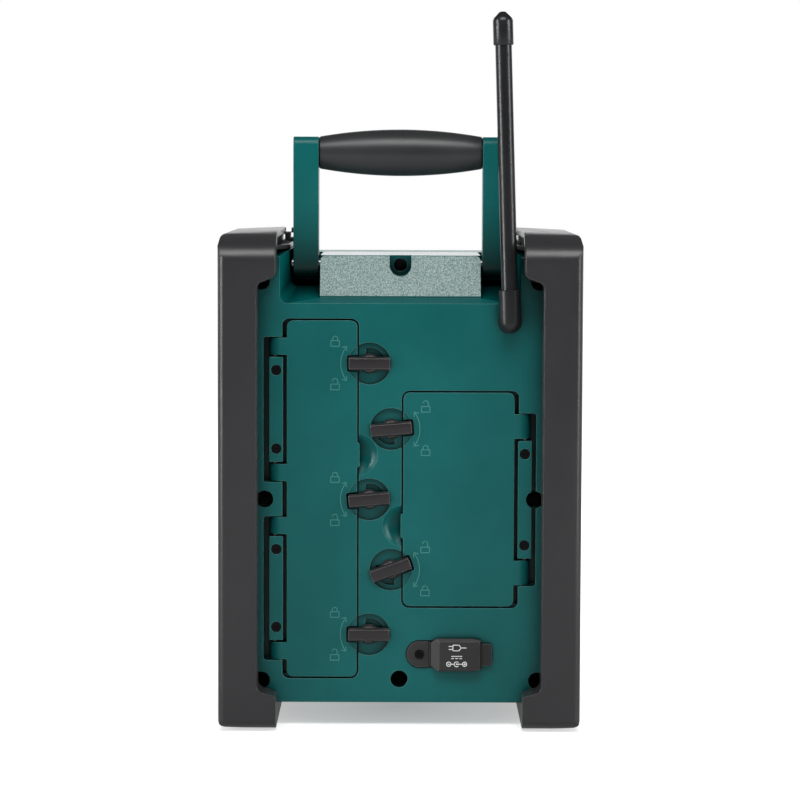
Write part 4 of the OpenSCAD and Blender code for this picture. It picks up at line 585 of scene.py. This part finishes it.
def hard_finishes(f):
    """Small hard mouldings, the front panel and what lies behind it."""
    made = {}
    # glass-filled nylon of the levers: satin, with painted highlights paling its edges and painted shade in its
    # hollows
    made["nylon_levers"] = moulded(
        "Nylon levers", f.levers, 0.3, f.grain, 12 * MICRON, cloud=0.06, edge=f.edge * 0.8, painted_shade_reach=4 * MM,
        painted_edge_light=linear("#A8A3A2"),
    )
    # black high-impact polystyrene of the tray, the bay, the sockets and the grille: plain moulded satin
    made["hips_black"] = moulded(
        "Moulded HIPS black", linear("#222425"), 0.5, f.grain, 30 * MICRON, cloud=0.05, edge=f.edge
    )
    # polycarbonate of the front panel: smoother and glossier than the body
    made["pc_panel"] = moulded(
        "Polycarbonate panel", linear("#17181A"), 0.28, f.grain, 8 * MICRON, cloud=0.04, edge=f.edge
    )
    # moulded ABS of the knobs: an even satin
    made["knob"] = moulded("Satin knob", linear("#1F2022"), 0.34, f.grain, 10 * MICRON, cloud=0.04, edge=f.edge)
    # pressed and coated paper pulp: matt, with coarse fibres
    made["paper"] = moulded("Coated paper cone", linear("#161616"), 0.8, 1.2 * MM, 100 * MICRON, cloud=0.12)
    # glass-epoxy board under its green solder mask: a faint gloss
    made["board"] = moulded("Solder-masked board", linear("#1F5B34"), 0.35, f.grain, 10 * MICRON, cloud=0.1)
    # liquid crystal behind its polariser: grey-green, with dark segments
    made["display"] = moulded("Liquid crystal display", linear("#8C9A86"), 0.3, 0.8 * MM, 2 * MICRON, cloud=0.03)
    made["segments"] = moulded("Liquid crystal segments", linear("#23291F"), 0.3, 0.8 * MM, 2 * MICRON, cloud=0.03)
    # cast acrylic of the display's window: clear and nearly colourless
    made["lens"] = new_material(
        "Acrylic window", Base_Color=(0.75, 0.8, 0.8, 1), Roughness=0.06, Transmission_Weight=1.0, IOR=1.49
    )[0]
    # screen-printed ink: flat white with slightly ragged cover
    made["ink"] = moulded("Screen-printed ink", f.print_ink, 0.5, 0.3 * MM, 4 * MICRON, cloud=0.03)
    return made


def metal_finishes():
    """Plated and pressed steels."""
    made = {}
    # zinc-plated steel: pale metal with faint drawing lines
    made["zinc"] = metal("Zinc-plated steel", linear("#AEB1B4"), 0.34)
    # nickel-plated spring steel: brighter and a little warmer
    made["nickel"] = metal("Nickel-plated spring steel", linear("#C9C6BE"), 0.22)
    # blackened steel: dark oxide that still glints on the edges of its recess
    made["black_oxide"] = metal("Black oxide steel", linear("#2A2A2C"), 0.38)
    # pressed steel of the loudspeaker's basket and of the plates round its magnet: dull grey
    made["pressed"] = metal("Pressed steel basket", linear("#4A4C4E"), 0.45)
    return made


def finishes():
    """Every finish of the radio, by the name its pieces use."""
    if not FINISHES:
        f = bpy.context.scene.radio_finishes
        FINISHES.update({**abs_finishes(f), **soft_finishes(f), **hard_finishes(f), **metal_finishes()})
    return FINISHES


# ---------------------------------------------------------------- studio


AIM = Vector((0, 0, 0.15))  # the lights point at the radio's middle
FLOOR_REACH = 6.0
JUST_OFF_FLOOR = 1 * MM
WHITE = (1, 1, 1, 1)


def upright(start, end, low, high):
    """Corners of an upright card over the ground line from start to end."""
    return [(*start, low), (*end, low), (*end, high), (*start, high)]


def card(context, name, corners, grey, strength):
    """A card that only reflections see."""
    obj = bpy.data.objects.new(name, mesh_from(name, corners, [(0, 1, 2, 3)], False))
    obj.visible_camera = obj.visible_diffuse = obj.visible_shadow = obj.visible_transmission = False
    context.scene.collection.objects.link(obj)
    material, _, _ = new_material(
        name, Roughness=1.0, Base_Color=(grey, grey, grey, 1), Specular_IOR_Level=0.0, Emission_Color=WHITE,
        Emission_Strength=strength,
    )
    obj.data.materials.append(material)


def lamp(context, name, place, size, power):
    """A rectangular area light at a place, turned to the radio."""
    data = bpy.data.lights.new(name, "AREA")
    data.shape, data.size, data.size_y, data.energy = "RECTANGLE", size[0], size[1], power
    obj = bpy.data.objects.new(name, data)
    obj.rotation_mode = "QUATERNION"
    obj.rotation_quaternion = (AIM - Vector(place)).to_track_quat("-Z", "Y")
    obj.location = place
    context.scene.collection.objects.link(obj)
    return obj


class RADIO_OT_stage(bpy.types.Operator):
    """Lit table, white backdrop, softboxes, strip lights and the camera behind the radio"""

    bl_idname = "radio.stage"
    bl_label = "Studio"

    def place_camera(self, context, s):
        """Stands the camera behind the radio, looking a little down."""
        camera = bpy.data.objects.new("Camera", bpy.data.cameras.new("Camera"))
        camera.data.lens, camera.data.sensor_width = s.lens, 36.0
        camera.data.clip_start, camera.data.clip_end = 0.05, 50
        turn = (
            Matrix.Rotation(math.pi, 4, "Z")
            @ Matrix.Rotation(math.pi / 2 - s.tilt, 4, "X")
            @ Matrix.Rotation(s.roll, 4, "Z")
        )
        camera.matrix_world = Matrix.Translation((0, CAD_HIGH.y + s.distance, s.height)) @ turn
        context.scene.collection.objects.link(camera)
        context.scene.camera = camera

    def lay_table(self, context, s):
        """Lays a glowing table whose glow is dimmer near the radio: a painted shadow round it, added to the soft
        shadow that the lamps cast.
        Its glow is full to the camera and less to everything else, and its own tone is dim in reflections."""
        r = FLOOR_REACH
        table = mesh_from("Floor", [(-r, -r, 0), (r, -r, 0), (r, r, 0), (-r, r, 0)], [(0, 1, 2, 3)], False)
        floor = bpy.data.objects.new("Floor", table)
        context.scene.collection.objects.link(floor)
        material, tree, shader = new_material(
            "Lit table", Roughness=0.9, Specular_IOR_Level=0.0, Emission_Color=WHITE
        )
        where = add(tree, "ShaderNodeTexCoord").outputs["Object"]
        away = add(tree, "ShaderNodeVectorMath", {0: where}, operation="LENGTH").outputs["Value"]
        # painted shadow: the glow rises from about a third at the radio's middle to full half a metre away
        under = [(0.0, 0.36), (0.06, 0.46), (0.1, 0.62), (0.5, 1.0)]
        glow = add(tree, "ShaderNodeValToRGB", {"Fac": away}, under).outputs["Color"]
        path = add(tree, "ShaderNodeLightPath").outputs
        unseen, mirrored = 0.45, 0.2
        seen = add(
            tree, "ShaderNodeMath", {0: path["Is Camera Ray"], 1: path["Is Transmission Ray"]}, operation="MAXIMUM"
        )
        reach = add(tree, "ShaderNodeMath", {0: seen.outputs[0], 1: unseen}, operation="MAXIMUM")
        dim = [c * mirrored for c in s.floor]
        tone = add(
            tree, "ShaderNodeMix", {0: path["Is Glossy Ray"], 6: (*s.floor, 1), 7: (*dim, 1)}, data_type="RGBA"
        )
        tree.links.new(tone.outputs[2], shader.inputs["Base Color"])
        scaled = add(tree, "ShaderNodeMath", {0: glow, 1: s.table}, operation="MULTIPLY")
        strength = add(tree, "ShaderNodeMath", {0: scaled.outputs[0], 1: reach.outputs[0]}, operation="MULTIPLY")
        tree.links.new(strength.outputs[0], shader.inputs["Emission Strength"])
        floor.data.materials.append(material)

    def hang_cards(self, context, s):
        """Hangs the cards that the radio mirrors."""
        # black velvet behind the camera keeps the upright faces deep in colour, and a white card stands opposite
        card(context, "Flag", upright((-3, 2.2), (3, 2.2), JUST_OFF_FLOOR, 2.6), 0.002, 0.0)
        card(context, "Backdrop", upright((-3, -3), (3, -3), JUST_OFF_FLOOR, 1.6), 0.8, 1.0)
        # tall bright cards in the strip lights' places draw the lines down the antenna and along the bumpers' rims
        for side, glow in ((1, s.left_card), (-1, s.right_card)):
            corners = upright((1.28 * side, 0.68), (1.38 * side, 0.45), 0.05, 1.15)
            card(context, "Strip card", corners if side > 0 else corners[::-1], 0.8, glow)

    def hang_lamps(self, context, s):
        """Hangs the softboxes above the camera and over the front, and a strip light on each side."""
        lamp(context, "Softbox above the camera", (0.0, 1.05, 1.75), (1.5, 0.75), s.key)
        over = lamp(context, "Softbox over the front", (0.0, -1.1, 1.2), (1.4, 0.8), s.top)
        over.visible_glossy = False
        for side in (-1, 1):
            lamp(context, "Strip light", (1.35 * side, 0.55, 0.55), (0.25, 1.1), s.sides)

    def fill_room(self, context, s):
        """Fills the room with faint even light, which the camera sees as white."""
        world = bpy.data.worlds.new("Studio")
        context.scene.world = world
        world.use_nodes = True
        tree = world.node_tree
        tree.nodes.clear()
        path = add(tree, "ShaderNodeLightPath").outputs
        seen = add(
            tree, "ShaderNodeMath", {0: path["Is Camera Ray"], 1: path["Is Transmission Ray"]}, operation="MAXIMUM"
        )
        plain = add(tree, "ShaderNodeBackground", {"Color": WHITE, "Strength": s.fill})
        white = add(tree, "ShaderNodeBackground", {"Color": WHITE, "Strength": 1.0})
        mix = add(tree, "ShaderNodeMixShader", {0: seen.outputs[0], 1: plain.outputs[0], 2: white.outputs[0]})
        add(tree, "ShaderNodeOutputWorld", {"Surface": mix.outputs[0]})

    def execute(self, context):
        for part in (self.place_camera, self.lay_table, self.hang_cards, self.hang_lamps, self.fill_room):
            part(context, context.scene.radio_stage)
        context.scene.view_settings.view_transform = "Standard"
        return {"FINISHED"}


# ---------------------------------------------------------------- pieces


class RADIO_OT_shell(bpy.types.Operator):
    """Body mouldings, their seal and the two bumpers"""

    bl_idname = "radio.shell"
    bl_label = "Body and bumpers"

    def texture_block(self, cover, slope_finish, top_finish, recess_finish):
        """Puts three finishes on the cover's faces: one on the slope between the handle's arms, whose faces look up
        and back, paled with painted glare, one on the top above it, whose faces look straight up, and one on the
        recess round the arms, darkened with painted shade."""
        mesh = cover.data
        for finish in (slope_finish, top_finish, recess_finish):
            mesh.materials.append(finish)
        on_slope, on_top, in_recess = 1, 2, 3
        count = len(mesh.polygons)
        normals, centres = np.empty(count * 3), np.empty(count * 3)
        mesh.polygons.foreach_get("normal", normals)
        mesh.polygons.foreach_get("center", centres)
        normals, centres = normals.reshape(-1, 3), centres.reshape(-1, 3)
        x, y, z = centres.T
        back, up = normals[:, 1], normals[:, 2]
        grip_low, grip_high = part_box("handle_grip")
        between = (x > grip_low.x) & (x < grip_high.x)
        high = z > joint_at("handle_fold").z - 20 * MM
        slope = between & high & (up > 0.3) & (up < 0.8) & (back > 0.5)
        top = between & high & (up > 0.97) & (z > z[slope].max())
        arms_low, arms_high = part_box("handle_frame")
        gap = 7 * MM
        beside = ~between & (x > arms_low.x - gap) & (x < arms_high.x + gap)
        sunk = y < joint_at("latch_1_turn").y - 0.3 * MM
        kind = np.zeros(count, np.int32)
        kind[beside & high & sunk] = in_recess
        kind[slope] = on_slope
        kind[top] = on_top
        mesh.polygons.foreach_set("material_index", kind)

    def execute(self, context):
        f = finishes()
        cover = skin("rear_cover", f["abs_body"])
        self.texture_block(cover, f["abs_frosted"], f["abs_land"], f["abs_channel"])
        skin("front_housing", f["abs_body"])
        finish_node(f["epdm_seal"], "case_seal")
        for side in ("bumper_left", "bumper_right"):
            skin(side, f["tpe_bumper"], edge=0.6 * MM)
        finish_node(f["zinc"], "case_screws")
        return {"FINISHED"}


class RADIO_OT_doors(bpy.types.Operator):
    """Device and battery doors with their hinges and latches"""

    bl_idname = "radio.doors"
    bl_label = "Doors and latches"

    def execute(self, context):
        f = finishes()
        skin("device_door", f["abs_body"], welded_to=["device_door_rail"])
        skin("battery_door", f["abs_body"])
        finish_node(f["epdm_seal"], "device_door_seal", "battery_door_seal")
        for retainer in ("device_hinge_retainers", "battery_hinge_retainer"):
            skin(retainer, f["abs_body"])
        finish_node(f["zinc"], "device_hinge_pins", "battery_hinge_pins")
        finish_node(f["black_oxide"], "hinge_screws")
        # the first three latches hold the device door, and the others the battery door
        for i, (door, side) in enumerate(3 * [("device_door", 1)] + 2 * [("battery_door", -1)], 1):
            skin(f"latch_{i}", f["nylon_levers"])
            hub = joint_at(f"latch_{i}_turn")
            marks = strokes(f"latch_{i}_marks", latch_marks(hub.x, hub.z, side), hub.y, 0.55 * MM, 0.2 * MM)
            link(marks, door, f["abs_marks"])
        return {"FINISHED"}


class RADIO_OT_handle(bpy.types.Operator):
    """Handle arms, the barrel grip and the pivot pins"""

    bl_idname = "radio.handle"
    bl_label = "Handle"

    def execute(self, context):
        f = finishes()
        skin("handle_frame", f["abs_arms"], edge=0.8 * MM)
        low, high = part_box("handle_grip")
        half, centre = (high.x - low.x) / 2, middle("handle_grip")
        most = (high.z - low.z) / 2
        end, lip, bore = 8.5 * MM, 0.6 * MM, 5.6 * MM
        x = np.linspace(-half + lip, half - lip, 61)
        # the radius falls from the middle to the ends as the square of the distance
        radius = most - (most - end) * (x / half) ** 2
        profile = [(-half, bore), (-half, end - lip), *zip(x, radius), (half, end - lip), (half, bore)]
        grip = turned("grip", profile, centre, (1, 0, 0))
        link(grip, "handle", f["rubber_grip"], ["handle_grip"])
        finish_node(f["zinc"], "handle_pins")
        return {"FINISHED"}


class RADIO_OT_antenna(bpy.types.Operator):
    """Antenna with its foot, mast and end cap"""

    bl_idname = "radio.antenna"
    bl_label = "Antenna"

    def execute(self, context):
        f = finishes()
        for node in ("antenna_base", "antenna_foot", "antenna_tip", "antenna_mast"):
            skin(node, f["pvc_antenna"])
        return {"FINISHED"}


class RADIO_OT_inlet(bpy.types.Operator):
    """Cover over the power inlet, its screw and the socket"""

    bl_idname = "radio.inlet"
    bl_label = "Power inlet"

    def execute(self, context):
        f = finishes()
        skin("inlet_cover_anchor", f["silicone_inlet"])
        skin("inlet_cover_flap", f["silicone_inlet"])
        finish_node(f["black_oxide"], "inlet_cover_screw")
        finish_node(f["hips_black"], "dc_jack")
        # the print is centred on the flap's block, clear of its pull tab, and mirrored for the view from behind
        block_x = -30.5 * MM
        block_z, face = middle("inlet_cover_flap").z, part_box("inlet_cover_flap")[1].y
        signs = plug_symbol(0, 4.1) + direct_current_symbol(0, -0.9) + polarity_symbol(0, -4.6)
        marks = [path * (-MM, MM) + (block_x, block_z) for path in signs]
        link(strokes("inlet_print", marks, face, 0.42 * MM, 0.04 * MM), "inlet_flap", f["ink"])
        return {"FINISHED"}


class RADIO_OT_front(bpy.types.Operator):
    """Control panel, display, knobs, buttons and the loudspeaker"""

    bl_idname = "radio.front"
    bl_label = "Front"

    def print_panel(self, ink):
        """Prints a sign over each button, and eleven ticks 27 degrees apart round the volume knob."""
        signs, over_button = [], 3.2 * MM
        for i, sign in enumerate(button_symbols(), 1):
            place = middle(f"button_{i}").x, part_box(f"button_{i}")[1].z + over_button
            signs += [path * MM + place for path in sign]
        knob = joint_at("volume_turn")
        inner, outer, longer = 14.2 * MM, 15.5 * MM, 16 * MM
        for step in range(-5, 6):
            a = math.radians(90 + 27 * step)
            out = np.array([math.cos(a), math.sin(a)])
            end = outer if step % 5 else longer
            signs.append(line((knob.x, knob.z) + out * inner, (knob.x, knob.z) + out * end))
        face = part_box("control_panel")[0].y
        link(strokes("panel_print", signs, face, 0.32 * MM, -0.03 * MM), "radio", ink)

    def print_pointer(self, knob, ink):
        """Prints the pointer on the face of a knob."""
        at, face = joint_at(knob.replace("knob", "turn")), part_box(knob)[0].y
        pointer = [line((at.x, at.z + 5.5 * MM), (at.x, at.z + 10 * MM))]
        link(strokes(knob + "_line", pointer, face, 0.8 * MM, -0.04 * MM), knob, ink)

    def show_station(self, finish):
        """Shows four numerals with a point before the last, and four rising bars to their left, in mm from the
        middle of the display."""
        height, shown = 11.0, []
        baseline = -height / 2
        for place, number in zip((-8.5, 0, 8.5, 18.5), (1, 0, 4, 5)):
            shown += digit(place, 0, height, number)
        shown.append(line((13.2, -5.4), (13.9, -5.4)))
        for bar in range(4):
            x = 2.2 * bar - 23
            shown.append(line((x, baseline), (x, baseline + 2 + 2.2 * bar)))
        glass, face = middle("display_module"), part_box("display_module")[0].y
        shown = [path * MM + (glass.x, glass.z) for path in shown]
        link(strokes("display_digits", shown, face, 1.1 * MM, -0.03 * MM), "radio", finish)

    def execute(self, context):
        f = finishes()
        skin("control_panel", f["pc_panel"])
        finish_node(f["lens"], "display_lens")
        finish_node(f["display"], "display_module")
        for knob in ("volume_knob", "tuning_knob"):
            skin(knob, f["knob"])
        for i in range(1, 7):
            skin(f"button_{i}", f["epdm_seal"])
        self.print_panel(f["ink"])
        for knob in ("volume_knob", "tuning_knob"):
            self.print_pointer(knob, f["ink"])
        self.show_station(f["segments"])
        skin("speaker_grille", f["hips_black"])
        skin("speaker_cone", f["paper"])
        skin("speaker_frame", f["pressed"])
        skin("speaker_magnet", f["pressed"])
        return {"FINISHED"}


class RADIO_OT_insides(bpy.types.Operator):
    """Tray, bay, contacts and boards inside the body"""

    bl_idname = "radio.insides"
    bl_label = "Inside"

    def execute(self, context):
        f = finishes()
        finish_node(f["hips_black"], "battery_tray", "device_bay", "aux_jack")
        finish_node(f["nickel"], "battery_contacts", "battery_springs", "encoders", "volume_shaft", "tuning_shaft")
        finish_node(f["board"], "main_board", "control_board")
        return {"FINISHED"}


class RADIO_PT_sidebar(bpy.types.Panel):
    bl_idname = "RADIO_PT_sidebar"
    bl_label = "Jobsite radio"
    bl_space_type = "VIEW_3D"
    bl_region_type = "UI"
    bl_category = "Radio"

    def draw(self, context):
        for operator in OPERATORS:
            self.layout.operator(operator.bl_idname)
        for group in (context.scene.radio_finishes, context.scene.radio_stage):
            for key in group.__annotations__:
                self.layout.prop(group, key)


OPERATORS = (
    RADIO_OT_stage,
    RADIO_OT_shell,
    RADIO_OT_doors,
    RADIO_OT_handle,
    RADIO_OT_antenna,
    RADIO_OT_inlet,
    RADIO_OT_front,
    RADIO_OT_insides,
)
CLASSES = (RadioFinishes, RadioStage, *OPERATORS, RADIO_PT_sidebar)


def register():
    """Registers the classes and hangs the two groups of settings on the scene."""
    for cls in CLASSES:
        bpy.utils.register_class(cls)
    bpy.types.Scene.radio_finishes = bpy.props.PointerProperty(type=RadioFinishes)
    bpy.types.Scene.radio_stage = bpy.props.PointerProperty(type=RadioStage)


def unregister():
    """Takes the settings and the classes away again."""
    del bpy.types.Scene.radio_stage
    del bpy.types.Scene.radio_finishes
    for cls in reversed(CLASSES):
        bpy.utils.unregister_class(cls)


def main():
    """Builds every piece and the studio."""
    register()
    for operator in OPERATORS:
        group, name = operator.bl_idname.split(".")
        getattr(getattr(bpy.ops, group), name)()


if __name__ == "__main__":
    main()
